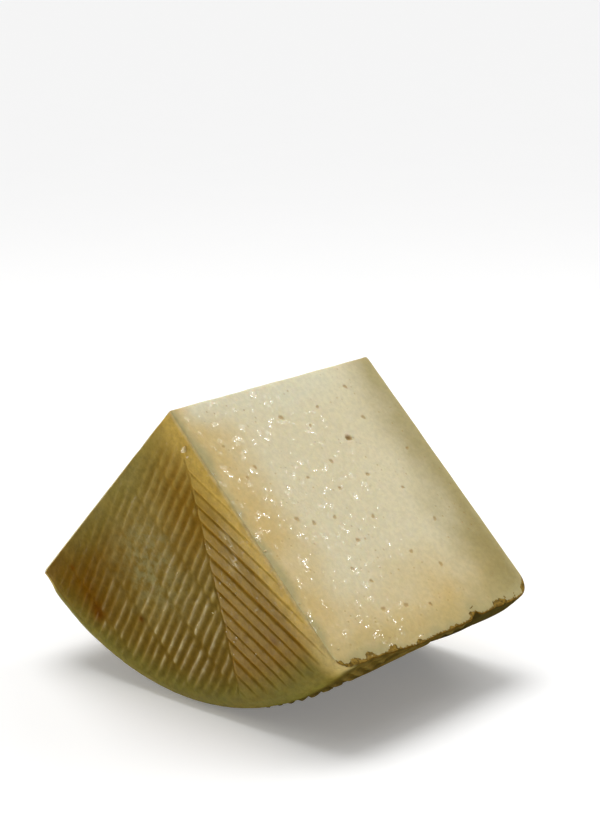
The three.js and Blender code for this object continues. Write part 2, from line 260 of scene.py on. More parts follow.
CUT_ZONES = {
    "green": ((1.0, ("ragged_rind", 5, 0.8)), (0.4, ("ragged_side", 12, 3))),
    "warm": ((1.0, ("patchy_inside", 27, 3)),),
    # pale: whitish along the tip, partly dried paste, partly a painted sheen of the wet edge.
    "pale": ((1.0, ("ragged_tip", 16, 1), ("from_front", 1, 10), ("from_back", 6, 30)),),
    # amber: darker paste towards the back, partly its own colour, partly painted shade of the light's
    # falloff.
    "amber": ((1.0, ("ragged_back", 33, 0)),),
    "wet": ((1.2, ("ragged_front", 76, 8, 1 / 12)),),
}

# ---- How finely each surface is laid out ----
COLUMNS_PER_STROKE = 10
COLUMNS_PER_BELT_STROKE = 7
LEAST_COLUMN_GAP = 0.1
RIM_STEPS = 24
SECTION_STEPS = 192
ROW_LEVELS = np.array(
    (0, 0.45, 0.85, 1.3, 2.0, 3.2, 4.9, 6.6, 8.4, 10.1, 11.8, 13.0, 13.7, 14.15, 14.55)) / 15
ROWS_LAID = (-1, 7)
RIDGE_LEVELS = np.array((-0.5, -0.44, -0.39, -0.34, -0.27, -0.1, 0.1, 0.27, 0.34, 0.39, 0.44))
RIDGE_STEPS = 22
STROKE_END_LEVELS = np.array((0, 0.3, 0.65, 1.1, 1.7))
STROKE_END_ROOM = 4.0
RIDGE_END_LEVELS = (0, 0.3, 0.65, 1.1, 1.7, 2.6, 3.8)
END_ROOM = 3.0
CUT_END_LEVELS = (0, 0.2, 0.5, 1.0, 2.0)
CUT_STEPS = 66
CUT_TOP = 0.4
CUT_CORNER = 2.0
SIDE_GAP = 0.35
SIDE_ROWS = 122
SIDE_END_LEVELS = (EDGE_INSET, 0.5, 0.85, 1.3, 2.0)
SIDE_MARGIN = 3.2
SIDE_STRAIGHTENED = (0.04, 0.26)
MERGED_WITHIN = 5e-6
SHORTEST_EDGE = 1e-6
CORNER_HOLE_SIDES = 12
RIND, PASTE = 0, 1
MARKS = ("crest", "warm", "green", "amber", "stain", "pale", "wet", "hollow", "deep_and_shade", "bloom", "belt")

# ---- The studio ----
MIDDLE = Vector((0, 0, 0.05))
# Square lamps: direction from the middle, distance, width, setting, share of it, colour, glints only.
LAMPS = {
    "key_light": ((0.20, 0.60, 0.77), 0.6, 0.35, "key_power", 1.0, (1.0, 0.99, 0.96), False),
    "key_spark": ((0.385, 0.593, 0.707), 1.0, 0.065, "spark_power", 1.0, (1.0, 1.0, 1.0), True),
    "fill_light": ((-0.93, -0.34, 0.12), 0.8, 0.3, "fill_power", 1.0, (1.0, 0.98, 0.94), False),
    "fill_spark": ((-0.80, -0.60, 0.03), 0.8, 0.06, "spark_power", 0.65, (1.0, 1.0, 1.0), True),
}
TOP_LIGHT_FROM = (-0.22, 0.1, 0.97)
TOP_LIGHT_SPREAD = 40.0
WHITE = (1.0, 1.0, 1.0, 1.0)
FLOOR_GLOW = 0.19
FLOOR_RINGS, FLOOR_SPOKES = 8, 48
CAMERA_AT = Vector((0.4207, -0.4326, 0.2374))
CAMERA_RIGHT = Vector((0.73126, 0.68138, -0.03129))
CAMERA_DOWN = Vector((0.14439, -0.19947, -0.96921))
SENSOR = 36.0


def paint(red, green, blue):
    """A colour given in screen values from 0 to 255, as the linear light that Blender works in."""
    share = np.array((red, green, blue)) / 255
    return tuple(np.where(share <= 0.04045, share / 12.92, ((share + 0.055) / 1.055) ** 2.4))


def length_setting(name, description, default):
    """A length in metres that a user may change."""
    return FloatProperty(name=name, description=description, default=default, min=0.0, unit="LENGTH",
                         precision=4)


def power_setting(name, description, default):
    """A lamp's power that a user may change."""
    return FloatProperty(name=name, description=description, default=default, min=0.0, unit="POWER")


def colour_setting(name, description, default):
    """A colour that a user may change, with its default in screen values."""
    return FloatVectorProperty(name=name, description=description, default=paint(*default), size=3,
                               min=0.0, max=1.0, subtype="COLOR")


class CheeseSizes(bpy.types.PropertyGroup):
    """Sizes of the cheese and of its imprint."""

    wheel_radius: length_setting("Wheel radius", "Radius of the whole wheel", 0.095)
    wheel_height: length_setting("Wheel height", "Distance between the wheel's flat faces", 0.09)
    front_rim: length_setting("Front rim", "Radius of the rim next to the front face", 0.0063)
    back_rim: length_setting("Back rim", "Radius of the rim next to the back face", 0.008)
    ridge_height: length_setting("Ridge height", "Height of the plaited ridges", 0.0008)
    long_ridge_pitch: length_setting("Long ridge pitch", "Distance between two long ridges", 0.0038)
    stroke_pitch: length_setting("Stroke pitch", "Distance between two short strokes", 0.00366)
    row_width: length_setting("Row width", "Width of one row of short strokes", 0.015)
    eye_smallest: length_setting("Smallest eye", "Radius of the smallest hollow eye", 0.00045)
    eye_largest: length_setting("Largest eye", "Radius of the largest hollow eye", 0.0011)


class CheeseColours(bpy.types.PropertyGroup):
    """Colours of the paste, the rind and the crumbs."""

    paste: colour_setting("Paste", "Middle of the cut paste", (230, 219, 182))
    paste_warm: colour_setting("Warm paste", "Paste a finger's width inside the rind", (217, 189, 123))
    # Browner paste towards the back face, darkened further as painted shade of the light's falloff.
    paste_back: colour_setting("Back paste", "Darker paste towards the back face", (165, 149, 92))
    paste_border: colour_setting("Paste border", "Clear strip of paste next to the rind", (186, 173, 122))
    # Whitish paste along the tip, partly dried, partly a painted sheen of the wet edge.
    paste_tip_and_sheen: colour_setting("Paste tip", "Dried whitish paste at the cut tip", (231, 225, 194))
    # Brown inside of eyes and pits, laid on more the deeper they sink: partly painted shade.
    paste_hollow: colour_setting("Eye", "Inside of the hollow eyes", (184, 148, 88))
    rind_line: colour_setting("Rind line", "Ragged brown line where the cut meets the rind", (98, 76, 22))
    groove: colour_setting("Groove", "Rind between the short strokes", (120, 97, 34))
    crest: colour_setting("Crest", "Crests of the short strokes", (154, 132, 68))
    warm_groove: colour_setting("Warm groove", "Rind between the long ridges", (140, 98, 18))
    warm_crest: colour_setting("Warm crest", "Crests of the long ridges", (156, 124, 46))
    # Olive green rind, its tone darkened as painted shade where the rim faces down.
    green: colour_setting("Green rind", "Rind of the rim and along the left cut", (123, 116, 50))
    # Amber of the smooth rind, brightened as a painted glow of light shining through it near the cut.
    amber: colour_setting("Amber rind", "Smooth rind along the right cut", (208, 174, 86))
    # Deep amber of the lower face, darkened as painted shade towards the bottom.
    deep_and_shade: colour_setting("Deep rind", "Dark amber rind of the lower left", (108, 73, 2))
    bloom: colour_setting("Bloom", "Rubbed greyish patches between the strokes", (148, 136, 84))
    # Partly the round side's darker rind, partly painted shadow of the underside.
    belt: colour_setting("Belt", "Dark olive brown rind of the round side", (72, 62, 26))
    stain: colour_setting("Stain", "Rust brown spots", (108, 67, 10))
    # Real pale scuffs and crumbs, and the same colour as the painted highlight on crests and on the right
    # cut's edge.
    scuff_and_highlight: colour_setting("Scuff", "Pale rubbed spots and crumbs", (210, 195, 144))


class StudioSettings(bpy.types.PropertyGroup):
    """Floor, light and camera."""

    floor: colour_setting("Floor", "Colour of the studio floor", (246, 246, 246))
    floor_reach: length_setting("Floor reach", "Radius of the studio floor", 6.0)
    key_power: power_setting("Key light", "Power of the light from behind", 0.89)
    fill_power: power_setting("Fill light", "Power of the soft light on the front face", 2.25)
    spark_power: power_setting("Spark lights", "Power of the small lights for glints", 1.0)
    top_strength: FloatProperty(name="Top light", description="Strength of the soft light above",
                                default=1.9, min=0.0)
    sky_strength: FloatProperty(name="Sky", description="Strength of the even pale sky", default=0.22,
                                min=0.0)
    lens: FloatProperty(name="Lens", description="Focal length of the camera", default=86.74, min=1.0,
                        unit="CAMERA")


# ---- Numbers and noise ----

def chance(row, place, use):
    """A steady number from 0 to 1: the fraction left of a large sine of a row, a place and a use."""
    wave = np.sin(np.asarray(row) * 12.9898 + np.asarray(place) * 78.233 + use * 37.719) * 43758.5453
    return wave - np.floor(wave)


def between(ends, share):
    """The value a share of the way from the first to the last of two ends."""
    return ends[0] + (ends[1] - ends[0]) * share


def smooth_step(value, start, end):
    """0 up to start, 1 from end on, and the cubic t t (3 - 2 t) of the way between them.

    Where start is the larger, the step falls instead: 1 up to end, and 0 from start on.
    """
    share = np.clip((value - start) / (end - start), 0, 1)
    return share * share * (3 - 2 * share)


def bell(value, reach):
    """1 at 0, and falling on both sides as a bell curve of that reach."""
    return np.exp(-(value / reach) ** 2)


def soft_noise(x, y, cell, use):
    """Noise from -1 to 1: steady random heights on a square lattice, blended smoothly between corners."""
    column, row = np.floor(x / cell), np.floor(y / cell)
    across, along = x / cell - column, y / cell - row
    across, along = across * across * (3 - 2 * across), along * along * (3 - 2 * along)
    low = chance(column, row, use) * (1 - across) + chance(column + 1, row, use) * across
    high = chance(column, row + 1, use) * (1 - across) + chance(column + 1, row + 1, use) * across
    return 2 * (low * (1 - along) + high * along) - 1


def ripple(x, y, waves, draw=0):
    """The sum of soft noises, each given by its height, its grain and its draw."""
    return sum(height * soft_noise(x, y, grain, draw + use) for height, grain, use in waves)


def spots_at(x, y, spots):
    """The sum of bell curves, each given by its strength, its place and its reach, held within 0 to 1."""
    total = sum(strength * bell(np.hypot(x - place[0], y - place[1]), reach)
                for strength, place, reach in spots)
    return np.clip(total, 0, 1)


def zone(where, strength, *borders):
    """A zone's strength times a smooth step for each border, in the distance that the border names."""
    for name, start, end, *left in borders:
        beyond = left[0] if left else 0
        strength = strength * between((beyond, 1), smooth_step(where[name], start, end))
    return strength


def zone_marks(table, where):
    """Marks from a table: each is the strongest of its zones, up to 1."""
    return {mark: np.minimum(np.maximum.reduce([zone(where, *part) for part in zones]), 1)
            for mark, zones in table.items()}


def heading(degrees):
    """The unit vector of a direction in a flat pattern, anticlockwise from its x axis."""
    return np.array((np.cos(np.radians(degrees)), np.sin(np.radians(degrees))))


def spread(start, end, offsets, steps):
    """Values between start and end for every column: at given distances from both ends, even between.

    The distances shrink in a column that is too short for them.
    """
    start, end = np.atleast_1d(start)[:, None], np.atleast_1d(end)[:, None]
    near = np.asarray(offsets, float)
    scale = np.minimum(1, (end - start) / (END_ROOM * near[-1]))
    first, last = start + near * scale, end - near[::-1] * scale
    share = np.linspace(0, 1, steps + 2)[1:-1]
    middle = first[:, -1:] + (last[:, :1] - first[:, -1:]) * share
    return np.concatenate([first, middle, last], axis=1)


def columns(*values):
    """Values as the columns of one array."""
    return np.stack(np.broadcast_arrays(*values), axis=-1)


# ---- The wheel's section ----

class Wheel:
    """The ground form of the wheel: its half section by distance walked along the skin from the
    middle of the front face, over the rims and the round side, to the middle of the back face."""

    def __init__(self, sizes):
        self.radius = sizes.wheel_radius / MM
        self.height = sizes.wheel_height / MM
        self.ridge = sizes.ridge_height / MM
        self.long_pitch = sizes.long_ridge_pitch / MM
        self.stroke_pitch = sizes.stroke_pitch / MM
        self.row_width = sizes.row_width / MM
        self.axis = self.radius - RESTING_FLAT_DEPTH
        section = self._section(sizes.front_rim / MM, sizes.back_rim / MM)
        self.section_radius, self.section_depth, self.outward, self.aft = section
        steps = np.hypot(np.diff(self.section_radius), np.diff(self.section_depth))
        self.walked = np.concatenate([[0], np.cumsum(steps)])
        self.whole = self.walked[-1]

    def side_radius(self, depth):
        """Radius of the round side: the belt's floor bulges as half a sine, then steps up to the band."""
        floor = self.radius - BELT_FLOOR_DEPTH
        belt = floor + BELT_BULGE * np.sin(np.pi * np.clip(depth / BELT_END, 0, 1))
        rise = smooth_step(depth, BELT_END, BELT_END + BELT_STEP_RUN)
        return belt + (self.radius + BAND_RISE - belt) * rise

    def _section(self, front_rim, back_rim):
        """Flat front, quarter circle, side, quarter circle and flat back, with outward normals."""
        turn = np.linspace(0, np.pi / 2, RIM_STEPS)
        zero, one = np.zeros(RIM_STEPS), np.ones(RIM_STEPS)
        front_middle = self.side_radius(front_rim) - front_rim
        back_middle = self.side_radius(self.height) - back_rim
        last = self.height - self.ridge
        depth = np.linspace(self.ridge + front_rim, last - back_rim, SECTION_STEPS)[1:-1]
        side = self.side_radius(depth)
        slope = np.gradient(side, depth)
        steep = np.hypot(1, slope)
        flat = np.linspace(0, 1, RIM_STEPS, endpoint=False)
        parts = [
            (flat * front_middle, self.ridge * one, zero, -one),
            (front_middle + front_rim * np.sin(turn), self.ridge + front_rim * (1 - np.cos(turn)),
             np.sin(turn), -np.cos(turn)),
            (side, depth, 1 / steep, -slope / steep),
            (back_middle + back_rim * np.cos(turn), last - back_rim * (1 - np.sin(turn)),
             np.cos(turn), np.sin(turn)),
            ((1 - flat - 1 / RIM_STEPS) * back_middle, last * one, zero, one),
        ]
        return [np.concatenate(column) for column in zip(*parts)]

    def profile(self, walked, lift=0.0):
        """Radius and depth of the skin raised by a lift, at a distance walked along the section."""
        radius, depth, outward, aft = (
            np.interp(walked, self.walked, column)
            for column in (self.section_radius, self.section_depth, self.outward, self.aft))
        return radius + lift * outward, depth + lift * aft

    def place(self, radius, depth, turn):
        """Spots in the frame, in millimetres: turn in radians is 0 at the bottom and grows towards +X."""
        height = self.axis - radius * np.cos(turn)
        return columns(radius * np.sin(turn), depth - self.height / 2, np.maximum(height, 0))


# ---- Relief ----

LEFT_OF_SPINE = heading(SPINE_LEAN - 180)
DOWN_SPINE = heading(SPINE_LEAN - 90)
FROM_LEFT_CUT = heading(-HALF_ANGLE)
FROM_RIGHT_CUT = heading(HALF_ANGLE - 180)


def rounded_off(distance, rounding):
    """How far a surface falls away near a rounded edge: the gap between a circle and its tangent."""
    short = np.maximum(rounding - distance, 0)
    return rounding - np.sqrt(np.maximum(rounding ** 2 - short ** 2, 0))


def edge_rounding(t, depth, draw):
    """Radius of the knife edge, which varies along it with noise."""
    return between(EDGE_ROUNDING, 0.5 + ripple(t, depth, EDGE_WAVES, draw))


def ragged_rounding(depth, draw):
    """Radius of the edge between a cut and the round side: small, with clusters of broken bits."""
    broken = 1.0
    for number, (line, grain, borders) in enumerate(RAGGED_BITS):
        broken = broken * smooth_step(soft_noise(depth, line, grain, draw + number), *borders)
    return between(RAGGED_ROUNDING, broken)


def out_of_step(row, place, draw):
    """How far a stroke or ridge stands out of its even spacing, as a share of the spacing."""
    return UNEVEN_SPACING * (chance(row, place, draw) - 0.5)


def long_ridges(wheel, x, y, face):
    """Crest share of the long ridges: flat crests with narrow grooves between them.

    A point's row is how far down the spine its ridge starts, in ridge spacings.
    """
    across = heading(LONG_RIDGE_SLOPE - 90)
    row = ((x - SPINE_OFFSET) * across[0] + y * across[1]) / wheel.long_pitch
    nearest = np.round(row)
    off = np.abs(row - nearest - out_of_step(face, nearest, RIDGE_DRAW))
    return 1 - (1 - LONG_RIDGE_FLOOR) * smooth_step(off, *LONG_RIDGE_SHOULDER)


def short_strokes(wheel, x, y, face):
    """Crest share of the short strokes: a bell curve across each stroke, tapered at its row's ends."""
    across, down = heading(STROKE_SLOPE - 90), heading(ROW_SLOPE - 90)
    fallen = x * down[0] + y * down[1] - FIRST_ROW_AT
    row = np.floor(fallen / wheel.row_width) + 1
    into = fallen - (row - 1) * wheel.row_width
    from_end = np.minimum(into, wheel.row_width - into)
    taper = between(ROW_END_SIZE, smooth_step(from_end, *ROW_END_RUN))
    lead = (x * across[0] + y * across[1]) / wheel.stroke_pitch - UNEVEN_ROWS * chance(face, row, ROW_DRAW)
    lead = lead + ripple(x, y, STROKE_PLACE_WAVES)
    nearest = np.round(lead)
    off = lead - nearest - out_of_step(row, nearest, STROKE_DRAW)
    size = between(STROKE_SIZE, chance(row, nearest, STROKE_SIZE_DRAW)) + ripple(x, y, STROKE_SIZE_WAVES)
    return bell(off, STROKE_SOFTNESS) * taper * size


def face_pattern(wheel, x, y, face):
    """Relief and marks of a flat face at pattern points, x to the right and y up from the cut tip.

    Ridges and strokes lie on either side of the spine. They are pressed in less near the tip, the
    rim, the cuts and the rubbed patch, and where they aren't pressed the rind is smooth.
    """
    radius = np.hypot(x, y)
    in_radii = (x / wheel.radius, y / wheel.radius)
    left = (x - SPINE_OFFSET) * LEFT_OF_SPINE[0] + y * LEFT_OF_SPINE[1]
    from_left = x * FROM_LEFT_CUT[0] + y * FROM_LEFT_CUT[1]
    from_right = x * FROM_RIGHT_CUT[0] + y * FROM_RIGHT_CUT[1]
    jagged = left + ripple(x, y, SPINE_WAVES)
    ridges = long_ridges(wheel, x, y, face) * smooth_step(-jagged, *SPINE_GAP)
    strokes = short_strokes(wheel, x, y, face) * smooth_step(jagged, *SPINE_GAP)
    lower = smooth_step(radius, *LOWER_PART)
    filled = smooth_step(from_right, *RIGHT_EDGE_FILLED)
    filled = filled + LOWER_EDGE_SHARE * lower * (smooth_step(from_right, *LOWER_EDGE_FILLED) - filled)
    rubbed = spots_at(*in_radii, RUBBED_SPOTS) * (RUBBED_EVENLY + ripple(x, y, RUBBED_WAVES))
    rubbed = np.clip(rubbed, 0, 1)
    strip_width = AMBER_STRIP[1] - AMBER_STRIP[0] - AMBER_NARROWS * lower
    where = {
        "radius": radius, "left": left, "from_left": from_left, "from_right": from_right,
        "ragged_tip": radius + ripple(x, y, TIP_WAVES), "strokes": strokes,
        "ragged_left": from_left + ripple(x, y, LEFT_EDGE_WAVES), "speckle": ripple(x, y, CREST_WAVES),
        "amber_strip": (from_right - AMBER_STRIP[0]) / strip_width,
    }
    pressed = zone(where, *PRESSED_ZONE) * filled * (PRESSED_DEPTH + ripple(x, y, PRESSED_WAVES))
    pressed = pressed * (1 - RUBBED_FLAT * rubbed)
    crest = 1 - pressed * (1 - ridges - strokes) - SMOOTH_RIND_SUNK * (1 - pressed)
    sunk = rounded_off(from_left, edge_rounding(radius, x, LEFT_EDGE_DRAW))
    sunk = sunk + rounded_off(from_right, edge_rounding(radius, x, RIGHT_EDGE_DRAW))
    marks = zone_marks(FACE_ZONES, where)
    # The pale mark holds the real scuffs and the painted highlight on the lower crests and along the right
    # cut's edge.
    marks["pale"] = np.maximum(marks["pale"], scuffs(*in_radii) + zone(where, *CREST_HIGHLIGHT_ZONE))
    marks["wet"] = LEAST_WET + marks["wet"]
    marks.update(crest=crest, bloom=rubbed, stain=spots_at(*in_radii, STAIN_SPOTS))
    return wheel.ridge * crest + ripple(x, y, FACE_WAVES) - sunk, marks


def scuffs(x, y):
    """Pale rubbed spots of the front face near the right cut, broken up by noise."""
    broken = smooth_step(ripple(x, y, SCUFF_WAVES), *SCUFF_BORDER)
    return SCUFF_STRENGTH * spots_at(x, y, SCUFF_SPOTS) * broken


def slanted_by(wheel, depth):
    """How far round the wheel, in radians, the belt's strokes have slanted: a zigzag with its rings."""
    width = (BELT_END - BELT_START) / BELT_RINGS
    along = np.clip((depth - BELT_START) / width, 0, BELT_RINGS)
    zigzag = np.abs(along - 2 * np.floor(along / 2 + 0.5))
    return zigzag * width / np.tan(np.radians(BELT_STROKE_SLOPE)) / wheel.radius


def belt_strokes(wheel, depth, turn):
    """Crest share of the belt: crowns with slanting flanks, ramped at both ends of a ring."""
    width = (BELT_END - BELT_START) / BELT_RINGS
    ring = np.floor((depth - BELT_START) / width)
    into = depth - BELT_START - ring * width
    from_end = np.minimum(into, width - into) - RING_GAP / 2
    inside = (depth > BELT_START) & (depth < BELT_END)
    ramp = smooth_step(from_end, 0, STROKE_RUN_UP) * inside
    lead = (np.pi - turn - slanted_by(wheel, depth)) * BELT_STROKES / (2 * np.pi)
    stroke = np.floor(lead)
    off = np.abs(lead - stroke - BELT_CROWN_AT - out_of_step(ring, stroke, BELT_PLACE_DRAW))
    size = between(BELT_STROKE_SIZE, chance(ring, stroke, BELT_SIZE_DRAW))
    return (1 - smooth_step(off, *BELT_CROWN)) * ramp * size


def belt_pattern(wheel, depth, turn):
    """Relief and marks of the round side: the belt's strokes, crushed at the cuts, smooth rims, waves."""
    from_cut = wheel.radius * (np.radians(HALF_ANGLE) - np.abs(turn))
    around = turn * wheel.radius
    crest = belt_strokes(wheel, depth, turn)
    crushed = (1 - smooth_step(from_cut, *CRUSHED_REACH)) * (depth < BELT_END)
    rough = CRUSHED_LEVEL + ripple(from_cut, depth, CRUSHED_WAVES)
    crest = crest + CRUSHED_SHARE * crushed * (rough - crest)
    rims = (1 - smooth_step(depth, *FRONT_RIM_FADE)) + smooth_step(depth, *BACK_RIM_FADE)
    crest = crest + (1 - SMOOTH_RIND_SUNK) * rims
    band = smooth_step(depth, BELT_END, BELT_END + BELT_STEP_RUN)
    where = {"from_cut": from_cut, "depth": depth}
    waves = ripple(around, depth, BELT_WAVES) + band * ripple(around, depth, BAND_WAVES)
    waves = waves + out_of_round(where, turn)
    marks = zone_marks(BELT_ZONES, where)
    marks["pale"] = marks["pale"] * (turn > 0)
    marks.update(crest=crest, warm=BELT_WARMTH + ripple(around, depth, BELT_WARM_WAVES))
    return wheel.ridge * crest + waves, marks


def out_of_round(where, turn):
    """How the round side is out of round: near the right cut it is flared at its edge and flatter
    beyond, and next to the left cut its front rim swells."""
    flare = zone(where, *FLARE_ZONE) * bell(where["from_cut"], FLARE_REACH)
    swell = zone(where, *SWELL_ZONE) * bell(where["from_cut"], SWELL_REACH)
    return np.where(turn > 0, flare - zone(where, *FLATTER_ZONE), swell)


def skin_relief(wheel, walked, turn):
    """Relief and marks anywhere on the skin: a flat face's pattern up to its rim, then the side's.

    The back face is the front face's pattern seen from behind, so its turn is mirrored.
    """
    depth = wheel.profile(walked)[1]
    lift, marks = belt_pattern(wheel, depth, turn)
    for face, reached, way in ((0, walked, 1), (1, wheel.whole - walked, -1)):
        near = reached <= PATTERN_REACH
        if not np.any(near):
            continue
        x, y = reached[near] * np.sin(way * turn[near]), -reached[near] * np.cos(way * turn[near])
        face_lift, face_marks = face_pattern(wheel, x, y, face)
        lift[near] = face_lift
        for name in MARKS:
            whole = marks.setdefault(name, np.zeros_like(lift))
            whole[near] = face_marks.get(name, 0)
    return lift, marks


# ---- Laying out one closed mesh ----

class Surface:
    """The vertices, marks and faces of one mesh, gathered patch by patch."""

    def __init__(self):
        self.spots, self.marks, self.faces, self.finishes = [], [], [], []
        self.count = 0

    def add(self, spots, marks):
        """Adds a patch's vertices and returns their numbers in the shape of the patch."""
        shape = spots.shape[:-1]
        numbers = np.arange(self.count, self.count + int(np.prod(shape))).reshape(shape)
        self.count += numbers.size
        self.spots.append(spots.reshape(-1, 3))
        self.marks.append(columns(*(
            np.broadcast_to(marks.get(name, 0.0), shape).ravel() for name in MARKS)))
        return numbers

    def face(self, corners, finish):
        """Adds faces, one row of vertex numbers each."""
        self.faces.append(corners)
        self.finishes.append(np.full(len(corners), finish))

    def quads(self, numbers, finish, keep=None):
        """Adds the cells of a patch or of several, or those that are kept."""
        near, far = numbers[..., :-1, :], numbers[..., 1:, :]
        cells = columns(near[..., :-1], far[..., :-1], far[..., 1:], near[..., 1:])
        self.face(cells.reshape(-1, 4) if keep is None else cells[keep], finish)

    def zip(self, one, one_at, other, other_at, finish):
        """Joins two chains of vertices by triangles, taken in the order of their edges' middles."""
        one_edge = (one_at[:-1] + one_at[1:]) / 2
        other_edge = (other_at[:-1] + other_at[1:]) / 2
        facing = other[np.searchsorted(other_edge, one_edge, side="left")]
        self.face(columns(one[:-1], one[1:], facing), finish)
        facing = one[np.searchsorted(one_edge, other_edge, side="right")]
        self.face(columns(other[1:], other[:-1], facing), finish)

    def build(self, name, materials):
        """Makes the mesh object: merges doubles, closes the corners and turns all faces outwards."""
        mesh = bpy.data.meshes.new(name)
        faces = [row for block in self.faces for row in block.tolist()]
        mesh.from_pydata(np.concatenate(self.spots) * MM, [], faces)
        for material in materials:
            mesh.materials.append(material)
        mesh.polygons.foreach_set("material_index", np.concatenate(self.finishes).astype(np.int32))
        marks = np.concatenate(self.marks).astype(np.float32)
        for column, mark in enumerate(MARKS):
            layer = mesh.attributes.new(mark, "FLOAT", "POINT")
            layer.data.foreach_set("value", np.ascontiguousarray(marks[:, column]))
        close_mesh(mesh)
        return stand(name, mesh)


def close_mesh(mesh):
    """Merges doubles, fills the few corner holes, turns the faces outwards and shades them smooth."""
    shape = bmesh.new()
    shape.from_mesh(mesh)
    bmesh.ops.remove_doubles(shape, verts=shape.verts, dist=MERGED_WITHIN)
    bmesh.ops.dissolve_degenerate(shape, edges=shape.edges, dist=SHORTEST_EDGE)
    holes = [edge for edge in shape.edges if edge.is_boundary]
    if holes:
        bmesh.ops.holes_fill(shape, edges=holes, sides=CORNER_HOLE_SIDES)
    bmesh.ops.recalc_face_normals(shape, faces=shape.faces)
    open_edges = sum(not edge.is_manifold for edge in shape.edges)
    shape.to_mesh(mesh)
    shape.free()
    if open_edges:
        raise RuntimeError(f"{mesh.name} isn't closed: {open_edges} open edges")
    mesh.shade_smooth()


def stand(name, data):
    """Puts a new object with the given mesh, light or camera into the scene."""
    made = bpy.data.objects.new(name, data)
    bpy.context.scene.collection.objects.link(made)
    return made


# ---- The flat faces ----

def meet(one, one_at, other, other_at):
    """The point whose products with two directions are the two given values."""
    return np.linalg.solve(np.array([one, other]), np.array([one_at, other_at]))


def rim_reach(off):
    """How far the pattern's rim is along a line that passes the middle at a distance: a right triangle."""
    return np.sqrt(np.maximum(PATTERN_REACH ** 2 - off ** 2, 0))


def on_rim(normal, at, way):
    """The point of the pattern's rim on the line normal.p = at, on the side that way points to."""
    return normal * at + way * rim_reach(at)


def laid_columns(fixed, regular):
    """Places of columns: the fixed ones, and the regular ones that aren't almost on a fixed one."""
    fixed = np.asarray(fixed)
    inside = regular[(regular > fixed.min()) & (regular < fixed.max())]
    gap = np.abs(inside[:, None] - fixed[None, :]).min(axis=1)
    return np.sort(np.concatenate([fixed, inside[gap > LEAST_COLUMN_GAP]]))


def laid_points(a, b, across, along):
    """Pattern points of columns at a, across the lines, and of levels at b, along them."""
    return a[:, None, None] * across + b[..., None] * along


def split_line(side):
    """Tip, bend and foot of the line between ridges and strokes; side is 1 for its left bank."""
    upper = np.array(SPINE_STARTS_AT) / np.hypot(*SPINE_STARTS_AT)
    upper_left = np.array((upper[1], -upper[0]))
    spine_at = LEFT_OF_SPINE @ np.array((SPINE_OFFSET, 0)) + side * SPLIT_HALF_WIDTH
    cut = FROM_LEFT_CUT if side > 0 else FROM_RIGHT_CUT
    tip = meet(upper_left, side * SPLIT_HALF_WIDTH, cut, EDGE_INSET)
    bend = meet(upper_left, side * SPLIT_HALF_WIDTH, LEFT_OF_SPINE, spine_at)
    return tip, bend, on_rim(LEFT_OF_SPINE, spine_at, DOWN_SPINE)


def stroke_side(wheel):
    """Pattern points of the part left of the spine: columns along the strokes, and levels that are
    close together at the rows' ends. Also gives the number of the column at the tip."""
    across, along, down = heading(STROKE_SLOPE - 90), heading(STROKE_SLOPE), heading(ROW_SLOPE - 90)
    tip, bend, foot = split_line(1)
    corner = on_rim(FROM_LEFT_CUT, EDGE_INSET, heading(-90 - HALF_ANGLE))
    knots = np.array([corner, tip, bend, foot])
    knot_a, knot_b = knots @ across, knots @ along
    step = wheel.stroke_pitch / COLUMNS_PER_STROKE
    regular = np.arange(np.ceil(knot_a[0] / step), np.floor(knot_a[-1] / step) + 1) * step
    a = laid_columns(knot_a[[0, 1, 3]], regular)
    top = np.interp(a, knot_a, knot_b)
    bottom = np.minimum(-rim_reach(a), top)
    fallen = (FIRST_ROW_AT + wheel.row_width * (np.arange(*ROWS_LAID)[:, None] + ROW_LEVELS)).ravel()
    level = (fallen - a[:, None] * (down @ across)) / (down @ along)
    ends = STROKE_END_LEVELS
    scale = np.minimum(1, (top - bottom) / (STROKE_END_ROOM * ends[-1]))[:, None]
    high, low = top[:, None] - ends * scale, bottom[:, None] + ends[::-1] * scale
    b = np.concatenate([high, np.clip(level, low[:, :1], high[:, -1:]), low], axis=1)
    return laid_points(a, b, across, along), int(np.argmin(np.abs(a - knot_a[1])))


def ridge_side(wheel):
    """Pattern points of the part right of the spine: columns along the long ridges, close together
    at the grooves. Also gives the number of the column at the lower corner."""
    across, along = heading(LONG_RIDGE_SLOPE - 90), heading(LONG_RIDGE_SLOPE)
    split = np.array(split_line(-1))
    corner = on_rim(FROM_RIGHT_CUT, EDGE_INSET, heading(HALF_ANGLE - 90))
    corner_a, corner_b = corner @ across, corner @ along
    split_a, split_b = split @ across, split @ along
    rows = np.arange(0, np.ceil(PATTERN_REACH / wheel.long_pitch))
    regular = (wheel.long_pitch * (rows[:, None] + RIDGE_LEVELS)).ravel() + SPINE_OFFSET * across[0]
    a = laid_columns([split_a[0], corner_a, split_a[-1]], regular)
    left = np.interp(a, split_a, split_b)
    cut = np.interp(a, [split_a[0], corner_a], [split_b[0], corner_b])
    right = np.maximum(np.where(a < corner_a, cut, rim_reach(a)), left)
    b = spread(left, right, RIDGE_END_LEVELS, RIDGE_STEPS)
    return laid_points(a, b, across, along), int(np.argmin(np.abs(a - corner_a)))


